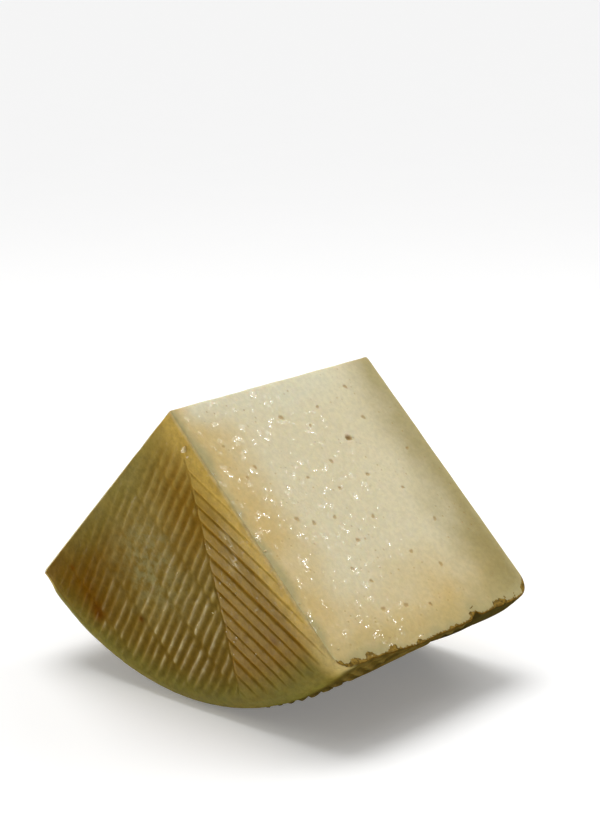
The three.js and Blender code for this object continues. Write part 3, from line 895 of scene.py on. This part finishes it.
def flat_face(surface, wheel, face):
    """Adds one flat face. Returns its chains: down the left cut, down the right cut, and the rim.

    A chain is vertex numbers and the distance or turn that orders them. Left and right are as the
    pattern is seen from outside.
    """
    way = 1 if face == 0 else -1
    grids = []
    for points, column in (stroke_side(wheel), ridge_side(wheel)):
        x, y = points[..., 0], points[..., 1]
        walked, turn = np.hypot(x, y), np.arctan2(x, -y)
        lift, marks = face_pattern(wheel, x, y, face)
        radius, depth = wheel.profile(walked if face == 0 else wheel.whole - walked, lift)
        numbers = surface.add(wheel.place(radius, depth, way * turn), marks)
        surface.quads(numbers, RIND)
        grids.append((numbers, walked, turn, column, y))
    (left, left_walked, left_turn, tip, left_y), (right, right_walked, right_turn, low, right_y) = grids
    surface.zip(left[tip:, 0], -left_y[tip:, 0], right[:, 0], -right_y[:, 0], RIND)
    left_chain = (left[tip::-1, 0], left_walked[tip::-1, 0])
    right_chain = (right[:low + 1, -1], right_walked[:low + 1, -1])
    rim = (np.concatenate([left[:, -1], right[:low - 1:-1, -1]]),
           np.concatenate([left_turn[:, -1], right_turn[:low - 1:-1, -1]]))
    return left_chain, right_chain, rim


# ---- The round side ----

def round_side(surface, wheel):
    """Adds the round side: columns follow the zigzag of the strokes and straighten at the cuts.

    Returns its rows next to the front and back rims and its columns next to both cuts.
    """
    first = PATTERN_REACH + SIDE_GAP
    walked = np.linspace(first, wheel.whole - first, SIDE_ROWS)
    radius, depth = wheel.profile(walked)
    limit = np.radians(HALF_ANGLE)
    step = 2 * np.pi / BELT_STROKES / COLUMNS_PER_BELT_STROKE
    half = limit - SIDE_MARGIN / wheel.radius
    inner = np.arange(-np.floor(half / step), np.floor(half / step) + 1) * step
    near = limit - np.array(SIDE_END_LEVELS) / wheel.radius
    middle = np.concatenate([-near, inner, near[::-1]])
    straight = smooth_step(limit - np.abs(middle), *SIDE_STRAIGHTENED)
    slant = slanted_by(wheel, depth)
    turn = middle[:, None] - (slant - slant.max() / 2)[None, :] * straight[:, None]
    edge = np.arcsin(EDGE_INSET / radius)
    turn[0], turn[-1] = edge - limit, limit - edge
    depth = np.broadcast_to(depth, turn.shape)
    lift, marks = belt_pattern(wheel, depth, turn)
    from_cut = radius * np.sin(limit - np.abs(turn))
    draws = np.where(turn > 0, RAGGED_DRAWS[1], RAGGED_DRAWS[-1])
    lift = lift - rounded_off(from_cut, ragged_rounding(depth, draws))
    raised, depth = wheel.profile(np.broadcast_to(walked, turn.shape), lift)
    numbers = surface.add(wheel.place(raised, depth, turn), marks)
    surface.quads(numbers, RIND)
    front, back = (numbers[:, 0], turn[:, 0]), (numbers[:, -1], turn[:, -1])
    return front, back, (numbers[0], walked), (numbers[-1], walked)


# ---- The knife cuts ----

def blended(front, back, top, bottom, down, over):
    """A surface patch between four border lines: the sum of the two straight blends between facing
    borders, less the blend of the four corners. down runs along front, and over along top."""
    down, over = down[:, None, None], over[None, :, None]
    across = between((front[:, None], back[:, None]), over)
    stacked = between((top[None], bottom[None]), down)
    first = between((front[:1, None], back[:1, None]), over)
    last = between((front[-1:, None], back[-1:, None]), over)
    return across + stacked - between((first, last), down)


def cut_outline(wheel, side, down_walked, over_walked):
    """The raised skin's line in the knife's plane: down the front and back faces, and over the side."""
    outline = []
    for walked in (down_walked, wheel.whole - down_walked, over_walked):
        turn = np.radians(HALF_ANGLE) - EDGE_ROUNDING[1] / np.maximum(wheel.profile(walked)[0], CUT_CORNER)
        lift = skin_relief(wheel, walked, side * turn)[0]
        outline.append(columns(*wheel.profile(walked, lift - EDGE_INSET)))
    front, back, bottom = outline
    front[0, 0] = back[0, 0] = EDGE_INSET
    return front, back, bottom


def knife_cut(surface, wheel, side, eyes, eye_sizes):
    """Adds one cut face, side 1 towards +X and -1 towards -X. Returns its four border chains.

    The cut is laid out in distance from the tip and in depth, inside the outline that the raised
    skin has in the knife's plane. It waves slightly, its edges are rounded, and eyes are sunk in it.
    """
    rim = PATTERN_REACH + SIDE_GAP
    down_walked = spread(CUT_TOP, PATTERN_REACH, CUT_END_LEVELS, CUT_STEPS)[0]
    over_walked = spread(rim, wheel.whole - rim, CUT_END_LEVELS, CUT_STEPS)[0]
    down, over = ((walked - walked[0]) / (walked[-1] - walked[0]) for walked in (down_walked, over_walked))
    front, back, bottom = cut_outline(wheel, side, down_walked, over_walked)
    top = columns(EDGE_INSET, between((front[0, 1], back[0, 1]), over))
    flat = blended(front, back, top, bottom, down, over)
    t, depth = flat[..., 0], flat[..., 1]
    gaps = [np.hypot(*np.moveaxis(flat - border, -1, 0)) + EDGE_INSET
            for border in (front[:, None], back[:, None], top[None], bottom[None])]
    draw = CUT_DRAWS[side]
    sunk = rounded_off(gaps[3], ragged_rounding(depth, RAGGED_DRAWS[side]))
    for gap, edge in zip(gaps, (0, 0, 1)):
        sunk = sunk + rounded_off(gap, edge_rounding(t, depth, draw + edge))
    calm = smooth_step(np.minimum.reduce(gaps), 0, CUT_CALM)
    sunk = sunk + calm * ripple(t, depth, CUT_WAVES, draw)
    marks = cut_marks(t, depth, gaps, draw)
    numbers = surface.add(knife_place(wheel, t, depth, sunk, side), marks)
    keep = np.ones((numbers.shape[0] - 1, numbers.shape[1] - 1), bool)
    sink_eyes(surface, wheel, (numbers, t, depth, sunk), keep, eyes, eye_sizes, side, marks)
    surface.quads(numbers, PASTE, keep)
    return ((numbers[:, 0], down_walked), (numbers[:, -1], down_walked), (numbers[0], over * wheel.whole),
            (numbers[-1], over_walked))


def knife_place(wheel, t, depth, sunk, side):
    """Spots of a cut in the frame, at distance t from the tip line, sunk below the knife's plane."""
    lean = np.radians(HALF_ANGLE)
    x = t * np.sin(lean) - sunk * np.cos(lean)
    z = wheel.axis - t * np.cos(lean) - sunk * np.sin(lean)
    return columns(side * x, depth - wheel.height / 2, np.maximum(z, 0))


def cut_marks(t, depth, gaps, draw):
    """Where the paste is clear next to the rind, warm, whitish, dark or wet, with uneven borders.

    The stain rises towards the round side, where the paste tears and shows the brown rind.
    """
    from_front, from_back, from_tip, from_side = gaps
    wander = ripple(t, depth, CUT_BORDER_WAVES, draw)
    above = LOWEST_T - t
    inside = np.minimum(from_front, WARM_SIDE_SHARE * from_side)
    inside = np.minimum(inside, from_back + WARM_BACK_LEAN * above)
    marks = zone_marks(CUT_ZONES, {
        "from_front": from_front, "from_back": from_back,
        "ragged_rind": np.minimum(np.minimum(from_front, from_back), from_side) + wander,
        "ragged_side": from_side + wander, "ragged_tip": from_tip + 2 * wander,
        "ragged_front": from_front + 2 * wander,
        "ragged_back": from_back + DARK_BACK_LEAN * above + 2 * wander,
        "patchy_inside": inside + ripple(t, depth, CUT_PATCH_WAVES, draw),
    })
    marks["stain"] = np.clip(1 - from_side / RAGGED_RUN, 0, 1)
    return marks


def eye_blocks(t, depth, keep, eyes):
    """Row, column and size of the eyes that have room, whose blocks of cells are taken out of keep."""
    chosen = []
    for eye_t, eye_depth, size in eyes:
        near = np.hypot(t - eye_t, depth - eye_depth)
        row, column = (int(i) - EYE_BLOCK // 2 for i in np.unravel_index(np.argmin(near), near.shape))
        inside = all(EYE_MARGIN < at < room - EYE_BLOCK - EYE_MARGIN
                     for at, room in zip((row, column), keep.shape))
        if inside and keep[row - 1:row + EYE_BLOCK + 1, column - 1:column + EYE_BLOCK + 1].all():
            keep[row:row + EYE_BLOCK, column:column + EYE_BLOCK] = False
            chosen.append((row, column, size))
    return (np.array(values) for values in zip(*chosen))


def sink_eyes(surface, wheel, grid, keep, eyes, sizes, side, marks):
    """Sinks eyes in a cut: each takes the place of a block of cells with rings that narrow inwards.

    A ring is a circle with two soft waves round it, at a share of the eye's radius and depth.
    """
    numbers, t, depth, sunk = grid
    row, column, size = eye_blocks(t, depth, keep, eyes)
    ahead = np.arange(EYE_BLOCK)
    border = np.concatenate([
        columns(ahead, 0), columns(EYE_BLOCK, ahead), columns(EYE_BLOCK - ahead, EYE_BLOCK),
        columns(0, EYE_BLOCK - ahead)])
    rows, cells = row[:, None] + border[:, 0], column[:, None] + border[:, 1]
    middle_t, middle_depth = t[rows, cells].mean(axis=1), depth[rows, cells].mean(axis=1)
    base = sunk[rows, cells].mean(axis=1)
    angle = np.arctan2(depth[rows, cells] - middle_depth[:, None], t[rows, cells] - middle_t[:, None])
    radius = between(sizes, size)[:, None]
    phase = PHASES * chance(row, column, EYE_WAVE_DRAW)[:, None]
    uneven = 1 + EYE_WAVES[0] * np.sin(2 * angle + phase) + EYE_WAVES[1] * np.sin(3 * angle + 2 * phase)
    sunk_by = radius * np.where(size > EYE_DEEP_FROM, EYE_DEPTHS[1], EYE_DEPTHS[0])[:, None]
    dark = between(EYE_DARKNESS, sunk_by / radius)
    eye_marks = {name: values[rows, cells] for name, values in marks.items()}
    outer = numbers[rows, cells]
    for share, sink in EYE_RINGS:
        reach = radius * uneven * share
        spots = knife_place(wheel, middle_t[:, None] + reach * np.cos(angle),
                            middle_depth[:, None] + reach * np.sin(angle),
                            base[:, None] + sunk_by * sink, side)
        # The hollow mark grows with how deep the ring sinks: painted shade inside the eye, partly its brown.
        eye_marks["hollow"] = np.broadcast_to(min(1, EYE_DARKENS_BY * sink) * dark, angle.shape)
        inner = surface.add(spots, eye_marks)
        join_rings(surface, outer, inner)
        outer = inner
    floor = knife_place(wheel, middle_t, middle_depth, base + EYE_FLOOR * sunk_by[:, 0], side)
    eye_marks["hollow"] = np.broadcast_to(dark, angle.shape)
    middle = surface.add(floor, {name: values[:, 0] for name, values in eye_marks.items()})
    around = columns(outer, np.roll(outer, -1, axis=1), middle[:, None])
    surface.face(around.reshape(-1, 3), PASTE)


def join_rings(surface, outer, inner):
    """Joins closed rings of equal count by quads."""
    cells = columns(outer, np.roll(outer, -1, axis=1), np.roll(inner, -1, axis=1), inner)
    surface.face(cells.reshape(-1, 4), PASTE)


def hidden_eyes():
    """Eyes of the left cut at steady random places, most of them small."""
    t, depth, size = (chance(1, np.arange(HIDDEN_EYES), draw) for draw in EYE_DRAWS)
    t_ends, depth_ends = HIDDEN_EYES_WITHIN
    return columns(between(t_ends, t), between(depth_ends, depth), size ** 2)


def cheese_surface(sizes):
    """The whole quarter as one surface: two flat faces, the round side and two cuts, zipped together."""
    wheel, surface = Wheel(sizes), Surface()
    eye_sizes = (sizes.eye_smallest / MM, sizes.eye_largest / MM)
    front_left, front_right, front_rim = flat_face(surface, wheel, 0)
    back_left, back_right, back_rim = flat_face(surface, wheel, 1)
    side_front, side_back, side_left, side_right = round_side(surface, wheel)
    surface.zip(*front_rim, *side_front, RIND)
    surface.zip(back_rim[0][::-1], -back_rim[1][::-1], *side_back, RIND)
    right = knife_cut(surface, wheel, 1, SHOWN_EYES, eye_sizes)
    left = knife_cut(surface, wheel, -1, hidden_eyes(), eye_sizes)
    for cut, front, back, side in ((right, front_right, back_left, side_right),
                                   (left, front_left, back_right, side_left)):
        surface.zip(*front, *cut[0], PASTE)
        surface.zip(*back, *cut[1], PASTE)
        surface.zip(*side, *cut[3], RIND)
    surface.zip(*right[2], *left[2], PASTE)
    return surface


# ---- Crumbs ----

def crumb_shells(centres, along, across, out, lengths):
    """Closed lumps as functions of two angles: a flattened ball whose radius has waves round it.

    The radius is 1 + (0.2 sin(2 a + p) + 0.2 sin(3 a + 2 p) + 0.1 sin(5 a - p)) sin(b) + 0.12 cos(3 b + p),
    where a goes round the lump, b falls from its top to its foot, and p is its own phase.
    """
    fall = np.linspace(0, np.pi, CRUMB_RINGS)[None, :, None]
    spin = (np.arange(CRUMB_SPOKES) * 2 * np.pi / CRUMB_SPOKES)[None, None, :]
    phase = (PHASES * chance(np.arange(len(lengths)), lengths, CRUMB_DRAW))[:, None, None]
    lumps = 0.2 * np.sin(2 * spin + phase) + 0.2 * np.sin(3 * spin + 2 * phase)
    lumps = (lumps + 0.1 * np.sin(5 * spin - phase)) * np.sin(fall) + 0.12 * np.cos(3 * fall + phase)
    radius = (1 + lumps) * (lengths / 2)[:, None, None]
    parts = ((along, radius * np.sin(fall) * np.cos(spin)),
             (across, CRUMB_WIDTH * radius * np.sin(fall) * np.sin(spin)),
             (out, CRUMB_HEIGHT * radius * np.cos(fall)))
    return centres[:, None, None] + sum(way[:, None, None] * size[..., None] for way, size in parts)


def specks(wheel):
    """Tiny whitish specks on the wet crests of the front face, as rows like those of FACE_CRUMBS: partly
    moist crumbs, partly painted glints.

    Steady random points are tried, and those stay where the pattern's crest is high and wet.
    """
    number = np.arange(SPECK_TRIES)
    far, round_by, dryness, rarity, size = (
        chance(row, number, SPECK_DRAW + row) for row in range(2, 7))
    radius = wheel.radius * between(SPECK_RADII, far)
    turn = np.radians(HALF_ANGLE) * between(SPECK_TURNS, round_by)
    x, y = radius * np.sin(turn), -radius * np.cos(turn)
    marks = face_pattern(wheel, x, y, 0)[1]
    on_ridge = marks["warm"] > LONG_RIDGE_WARMTH
    kept = (marks["crest"] > SPECK_CREST) & (marks["wet"] > between(SPECK_WETNESS, dryness))
    kept = kept & (marks["amber"] < SPECK_AMBER) & (rarity < np.where(on_ridge, *SPECK_RARITY))
    length = between(SPECK_LENGTH, size ** 2)
    return columns(x, y, length, np.where(on_ridge, LONG_RIDGE_SLOPE, STROKE_SLOPE))[kept]


def crumb_surface(sizes):
    """All crumbs as one surface; each sits a little sunk in the skin below it."""
    wheel, surface = Wheel(sizes), Surface()
    x, y, face_length, face_turn = np.concatenate([FACE_CRUMBS, specks(wheel)]).T
    lift = face_pattern(wheel, x, y, 0)[0]
    on_face = wheel.place(*wheel.profile(np.hypot(x, y), lift), np.arctan2(x, -y))
    t, depth, cut_length, cut_turn = np.array(CUT_CRUMBS).T
    on_cut = knife_place(wheel, t, depth, CRUMB_CUT_SUNK, 1)
    lean = np.radians(HALF_ANGLE)
    for spots, lengths, turns, right, up in (
            (on_face, face_length, face_turn, (1, 0, 0), (0, 0, 1)),
            (on_cut, cut_length, cut_turn, (0, 1, 0), (-np.sin(lean), 0, np.cos(lean)))):
        right, up, turn = np.array(right), np.array(up), np.radians(turns)[:, None]
        along, across = right * np.cos(turn) + up * np.sin(turn), up * np.cos(turn) - right * np.sin(turn)
        out = np.broadcast_to(np.cross(right, up), along.shape)
        centres = spots + CRUMB_RAISED * out * lengths[:, None]
        numbers = surface.add(crumb_shells(centres, along, across, out, lengths), {})
        surface.quads(np.concatenate([numbers, numbers[..., :1]], axis=-1), 0)
    return surface


# ---- Finishes ----

class Finish:
    """A material's node tree, built up through short calls that return the new node's output."""

    def __init__(self, name):
        self.material = bpy.data.materials.new(name)
        self.material.use_nodes = True
        self.tree = self.material.node_tree
        self.tree.nodes.clear()
        self.where = self.node("ShaderNodeTexCoord").outputs["Object"]

    def node(self, kind, inputs=(), **settings):
        """Adds a node, sets its settings, and feeds its inputs with values or other nodes' outputs."""
        made = self.tree.nodes.new(kind)
        for name, value in settings.items():
            setattr(made, name, value)
        for socket, value in dict(inputs).items():
            if isinstance(value, bpy.types.NodeSocket):
                self.tree.links.new(value, made.inputs[socket])
            else:
                made.inputs[socket].default_value = value
        return made

    def mark(self, name):
        """One of the mesh's own marks, from 0 to 1."""
        return self.node("ShaderNodeAttribute", attribute_name=name).outputs["Fac"]

    def noise(self, grain, detail=3.0, roughness=0.55):
        """Noise whose grain is about that many millimetres."""
        return self.node("ShaderNodeTexNoise", {
            "Vector": self.where, "Scale": 1 / (grain * MM), "Detail": detail,
            "Roughness": roughness}).outputs["Fac"]

    def cells(self, grain):
        """Distance to scattered points that are about that many millimetres apart."""
        return self.node("ShaderNodeTexVoronoi", {
            "Vector": self.where, "Scale": 1 / (grain * MM)}).outputs["Distance"]

    def spread(self, value, low, high, to_low=0.0, to_high=1.0):
        """Maps low..high to to_low..to_high with a smooth step, and holds it outside."""
        return self.node("ShaderNodeMapRange", {
            "Value": value, "From Min": low, "From Max": high, "To Min": to_low, "To Max": to_high},
            interpolation_type="SMOOTHSTEP").outputs["Result"]

    def math(self, operation, one, other):
        """One of Blender's sums on two values."""
        return self.node("ShaderNodeMath", {0: one, 1: other}, operation=operation).outputs[0]

    def times(self, one, other):
        """The product of two values."""
        return self.math("MULTIPLY", one, other)

    def mix(self, share, one, other, blend="MIX"):
        """Mixes two colours by a share."""
        colours = [tuple(c) + (1.0,) if not isinstance(c, bpy.types.NodeSocket) else c for c in (one, other)]
        return self.node("ShaderNodeMix", {0: share, 6: colours[0], 7: colours[1]},
                         data_type="RGBA", blend_type=blend).outputs[2]

    def layer(self, colour, mark, coat, *patches):
        """Lays a coat over a colour where a mark says, and where a value that is spread over patches
        says so too, if one is given."""
        share = self.mark(mark)
        if patches:
            share = self.times(share, self.spread(*patches))
        return self.mix(share, colour, coat)

    def dappled(self, colour, share):
        """A colour made darker or lighter by a share."""
        grey = self.node("ShaderNodeCombineColor", dict.fromkeys(range(3), share)).outputs[0]
        return self.mix(1.0, colour, grey, "MULTIPLY")

    def bump(self, height, strength, distance):
        """Turns heights into a bent normal; distance in millimetres is what a height of 1 stands for."""
        inputs = {"Height": height, "Strength": strength, "Distance": distance * MM}
        return self.node("ShaderNodeBump", inputs).outputs["Normal"]

    def shade(self, **inputs):
        """Ends the tree in a Principled shader; the inputs' names have spaces for underscores."""
        named = {name.replace("_", " "): value for name, value in inputs.items()}
        shader = self.node("ShaderNodeBsdfPrincipled", named)
        self.node("ShaderNodeOutputMaterial", {"Surface": shader.outputs["BSDF"]})
        return self.material


def rind_finish(colours):
    """Waxy rind: dark grooves, painted crest highlights, green and amber zones, stains, and glints on wet
    crests.
    """
    finish = Finish("pressed_rind")
    crest, patch = finish.mark("crest"), finish.noise(9.0, 4.0, 0.6)
    height = finish.math("ADD", crest, finish.times(patch, 0.35))
    strokes = finish.mix(finish.spread(height, 0.25, 1.05), colours.groove, colours.crest)
    ridges = finish.mix(finish.spread(height, 0.5, 1.1), colours.warm_groove, colours.warm_crest)
    colour = finish.mix(finish.mark("warm"), strokes, ridges)
    # Of these layers, the deep amber of the lower face, the belt and the green of the rim are partly painted
    # shade, the amber partly a painted glow, and the pale partly a painted highlight.
    for layer in (
            ("deep_and_shade", colours.deep_and_shade, patch, 0.25, 0.7, 0.7, 1.0),
            ("bloom", colours.bloom, finish.noise(5.0, 5.0, 0.65), 0.42, 0.6),
            ("green", colours.green, patch, 0.2, 0.8, 0.55, 1.0),
            ("belt", colours.belt, height, 0.4, 1.3, 1.0, 0.75),
            ("amber", colours.amber, height, 0.3, 1.0, 0.5, 0.84),
            ("stain", colours.stain),
            ("pale", colours.scuff_and_highlight)):
        colour = finish.layer(colour, *layer)
    colour = finish.dappled(colour, finish.spread(finish.noise(2.2, 5.0, 0.65), 0.25, 0.75, 0.8, 1.15))
    fine = finish.math("ADD", finish.noise(0.9, 4.0, 0.6), finish.times(finish.noise(3.5), 0.8))
    film = finish.noise(1.1, 1.0, 0.5)
    return finish.shade(
        Base_Color=colour, Roughness=finish.spread(finish.mark("belt"), 0.0, 0.8, 0.5, 0.95),
        Normal=finish.bump(fine, 0.5, 0.25), Specular_IOR_Level=0.0,
        Subsurface_Weight=0.25, Subsurface_Radius=(1.0, 0.6, 0.25), Subsurface_Scale=1.5 * MM,
        Coat_Weight=finish.times(finish.spread(crest, 0.5, 1.0, 0.04, 0.7), finish.mark("wet")),
        Coat_Roughness=0.1, Coat_IOR=1.4, Coat_Normal=finish.bump(film, 1.0, 0.6))


def paste_finish(colours):
    """Wet cut paste: pale and curdy, clear near the rind, with eyes and pits painted brown inside, partly as
    painted shade, and a film of whey.

    Where the mark for stains and two noises add up, the paste is torn and shows rind and straw.
    """
    finish = Finish("cut_paste")
    broad = finish.noise(14.0, 3.0, 0.6)
    colour = finish.layer(colours.paste, "warm", colours.paste_warm, broad, 0.25, 0.7, 0.6, 1.0)
    # The back paste is partly painted shade, and the whitish tip partly a painted sheen.
    for mark, coat in (
            ("amber", colours.paste_back), ("pale", colours.paste_tip_and_sheen), ("green", colours.paste_border)):
        colour = finish.layer(colour, mark, coat)
    colour = finish.dappled(colour, finish.spread(finish.noise(1.6, 4.0, 0.6), 0.3, 0.7, 0.93, 1.04))
    # Pits are sunk in the bump and take the eye colour where they sink: partly painted shade.
    pits = finish.spread(finish.cells(2.3), 0.05, 0.24, 1.0, 0.0)
    pits = finish.times(pits, finish.spread(finish.noise(9.0, 2.0), 0.47, 0.58))
    colour = finish.mix(finish.times(pits, 0.4), colour, colours.paste_hollow)
    colour = finish.layer(colour, "hollow", colours.paste_hollow)
    torn = finish.spread(finish.noise(6.0, 2.0), 0.45, 0.58, 0.18, 0.6)
    torn = finish.math("ADD", torn, finish.times(finish.noise(0.9, 3.0, 0.6), 0.55))
    torn = finish.spread(finish.math("ADD", finish.mark("stain"), torn), 1.24, 1.32)
    straw = finish.mix(finish.spread(finish.noise(1.1), 0.35, 0.65), colours.rind_line, colours.warm_crest)
    colour = finish.mix(torn, colour, straw)
    height = finish.math("SUBTRACT", finish.times(finish.noise(0.8, 4.0, 0.6), 0.5), pits)
    clusters = finish.times(finish.spread(finish.noise(3.2, 2.0), 0.575, 0.67), finish.mark("wet"))
    film = finish.times(finish.noise(6.0, 1.0, 0.5), 0.4)
    film = finish.math("ADD", film, finish.times(finish.noise(1.6, 1.0, 0.5), 0.95))
    return finish.shade(
        Base_Color=colour, Roughness=0.55, Normal=finish.bump(height, 0.45, 0.25), Specular_IOR_Level=0.1,
        Subsurface_Weight=finish.spread(torn, 0.0, 1.0, 0.45, 0.0),
        Subsurface_Radius=(1.0, 0.7, 0.35), Subsurface_Scale=2.5 * MM,
        Coat_Weight=finish.spread(finish.math("SUBTRACT", clusters, torn), 0.1, 0.6, 0.03, 0.9),
        Coat_Roughness=0.1, Coat_IOR=1.45, Coat_Normal=finish.bump(film, 1.0, 0.3))


def crumb_finish(colours):
    """Moist whitish crumb, which also colours the specks that stand in as painted glints."""
    finish = Finish("paste_crumb")
    curd = finish.noise(0.7, 3.0, 0.6)
    colour = finish.mix(finish.spread(curd, 0.3, 0.7), colours.paste_warm, colours.scuff_and_highlight)
    return finish.shade(
        Base_Color=colour, Roughness=0.45, Normal=finish.bump(curd, 0.6, 0.2),
        Subsurface_Weight=0.4, Subsurface_Radius=(1.0, 0.7, 0.4), Subsurface_Scale=1.0 * MM,
        Coat_Weight=0.6, Coat_Roughness=0.1)


def floor_finish(colour):
    """Plain matt studio floor with the faintest unevenness."""
    finish = Finish("studio_floor")
    return finish.shade(
        Base_Color=tuple(colour) + (1.0,), Roughness=finish.spread(finish.noise(60.0), 0.3, 0.7, 0.8, 0.9),
        Specular_IOR_Level=0.2, Emission_Color=WHITE, Emission_Strength=FLOOR_GLOW)


# ---- Operators ----

def put_on_frame(piece, *nodes):
    """Lets a piece ride on the cheese's body, in place of the given nodes, which are hidden."""
    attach(piece, BODY)
    if nodes:
        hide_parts(*nodes)


class CHEESE_OT_quarter(bpy.types.Operator):
    """Builds the quarter wheel with its rind, its imprint, its cuts and their eyes"""

    bl_idname = "cheese.quarter"
    bl_label = "Quarter wheel"

    def execute(self, context):
        colours = context.scene.cheese_colours
        made = cheese_surface(context.scene.cheese_sizes).build(
            "cheese_quarter", [rind_finish(colours), paste_finish(colours)])
        put_on_frame(made, CHEESE_NODE)
        return {"FINISHED"}


class CHEESE_OT_crumbs(bpy.types.Operator):
    """Strews moist crumbs of paste along the knife edges and over the front face, and whitish specks as
    painted glints on its wet crests
    """

    bl_idname = "cheese.crumbs"
    bl_label = "Crumbs"

    def execute(self, context):
        made = crumb_surface(context.scene.cheese_sizes).build(
            "cheese_crumbs", [crumb_finish(context.scene.cheese_colours)])
        put_on_frame(made)
        return {"FINISHED"}


class CHEESE_OT_studio(bpy.types.Operator):
    """Sets up the floor, the lights, the sky and the camera"""

    bl_idname = "cheese.studio"
    bl_label = "Studio"

    def execute(self, context):
        settings = context.scene.cheese_studio
        context.scene.view_settings.view_transform = "Standard"
        studio_floor(settings)
        studio_lights(settings)
        studio_sky(settings)
        studio_camera(settings)
        return {"FINISHED"}


def studio_floor(settings):
    """A flat disc: rings of a growing radius round the origin, as a function of radius and turn."""
    radius = settings.floor_reach * np.linspace(0, 1, FLOOR_RINGS)[1:, None] ** 2
    turn = np.arange(FLOOR_SPOKES) * 2 * np.pi / FLOOR_SPOKES
    spots = columns(radius * np.cos(turn), radius * np.sin(turn), 0.0)
    numbers = np.arange(radius.size * turn.size).reshape(-1, FLOOR_SPOKES)
    beside = np.roll(numbers, -1, axis=1)
    cells = columns(numbers[:-1], numbers[1:], beside[1:], beside[:-1]).reshape(-1, 4)
    mesh = bpy.data.meshes.new("studio_floor")
    mesh.from_pydata(spots.reshape(-1, 3), [], cells.tolist() + [numbers[0].tolist()])
    mesh.materials.append(floor_finish(settings.floor))
    floor = stand("studio_floor", mesh)


def turned_to(lamp, towards):
    """Turns a lamp so that it shines from a direction."""
    lamp.rotation_euler = Vector(towards).to_track_quat("Z", "Y").to_euler()


def studio_lights(settings):
    """A soft key light behind on the right, a low light on the left, small lights that only raise
    glints, and a soft light above."""
    for name, (towards, distance, width, power, share, colour, glints_only) in LAMPS.items():
        light = bpy.data.lights.new(name, "AREA")
        light.energy, light.size, light.color = share * getattr(settings, power), width, colour
        lamp = stand(name, light)
        lamp.location = MIDDLE + Vector(towards).normalized() * distance
        lamp.visible_diffuse = not glints_only
        turned_to(lamp, towards)
    light = bpy.data.lights.new("top_light", "SUN")
    light.energy, light.angle = settings.top_strength, np.radians(TOP_LIGHT_SPREAD)
    turned_to(stand("top_light", light), TOP_LIGHT_FROM)


def studio_sky(settings):
    """An even pale sky."""
    world = bpy.data.worlds.new("studio_sky")
    world.use_nodes = True
    sockets = world.node_tree.nodes["Background"].inputs
    sockets["Color"].default_value = WHITE
    sockets["Strength"].default_value = settings.sky_strength
    bpy.context.scene.world = world


def studio_camera(settings):
    """The camera at the photograph's viewpoint, given by its place and by its right and down ways."""
    camera = bpy.data.cameras.new("studio_camera")
    camera.sensor_fit = "VERTICAL"
    camera.sensor_height = camera.sensor_width = SENSOR
    camera.lens = settings.lens
    right = CAMERA_RIGHT.normalized()
    back = right.cross(-CAMERA_DOWN).normalized()
    seen_from = Matrix((right, back.cross(right), back)).transposed().to_4x4()
    seen_from.translation = CAMERA_AT
    holder = stand("studio_camera", camera)
    holder.matrix_world = seen_from
    bpy.context.scene.camera = holder


class CHEESE_PT_panel(bpy.types.Panel):
    """Lists the parts of the cheese in the sidebar"""

    bl_idname = "CHEESE_PT_panel"
    bl_label = "Sheep milk cheese"
    bl_space_type = "VIEW_3D"
    bl_region_type = "UI"
    bl_category = "Cheese"

    def draw(self, context):
        for operator in OPERATORS:
            self.layout.operator(operator.bl_idname)
        for group_name, kind in GROUPS.items():
            box = self.layout.box()
            for name in kind.__annotations__:
                box.prop(getattr(context.scene, group_name), name)


OPERATORS = (CHEESE_OT_quarter, CHEESE_OT_crumbs, CHEESE_OT_studio)
GROUPS = {"cheese_sizes": CheeseSizes, "cheese_colours": CheeseColours, "cheese_studio": StudioSettings}
CLASSES = (*GROUPS.values(), *OPERATORS, CHEESE_PT_panel)


def register():
    """Makes the settings, the operators and the panel known."""
    for kind in CLASSES:
        bpy.utils.register_class(kind)
    for name, group in GROUPS.items():
        setattr(bpy.types.Scene, name, PointerProperty(type=group))


def unregister():
    """Takes back what register made known."""
    for name in GROUPS:
        delattr(bpy.types.Scene, name)
    for kind in reversed(CLASSES):
        bpy.utils.unregister_class(kind)


def main():
    """Builds the cheese, its crumbs and the studio."""
    register()
    bpy.ops.cheese.quarter()
    bpy.ops.cheese.crumbs()
    bpy.ops.cheese.studio()


if __name__ == "__main__":
    main()
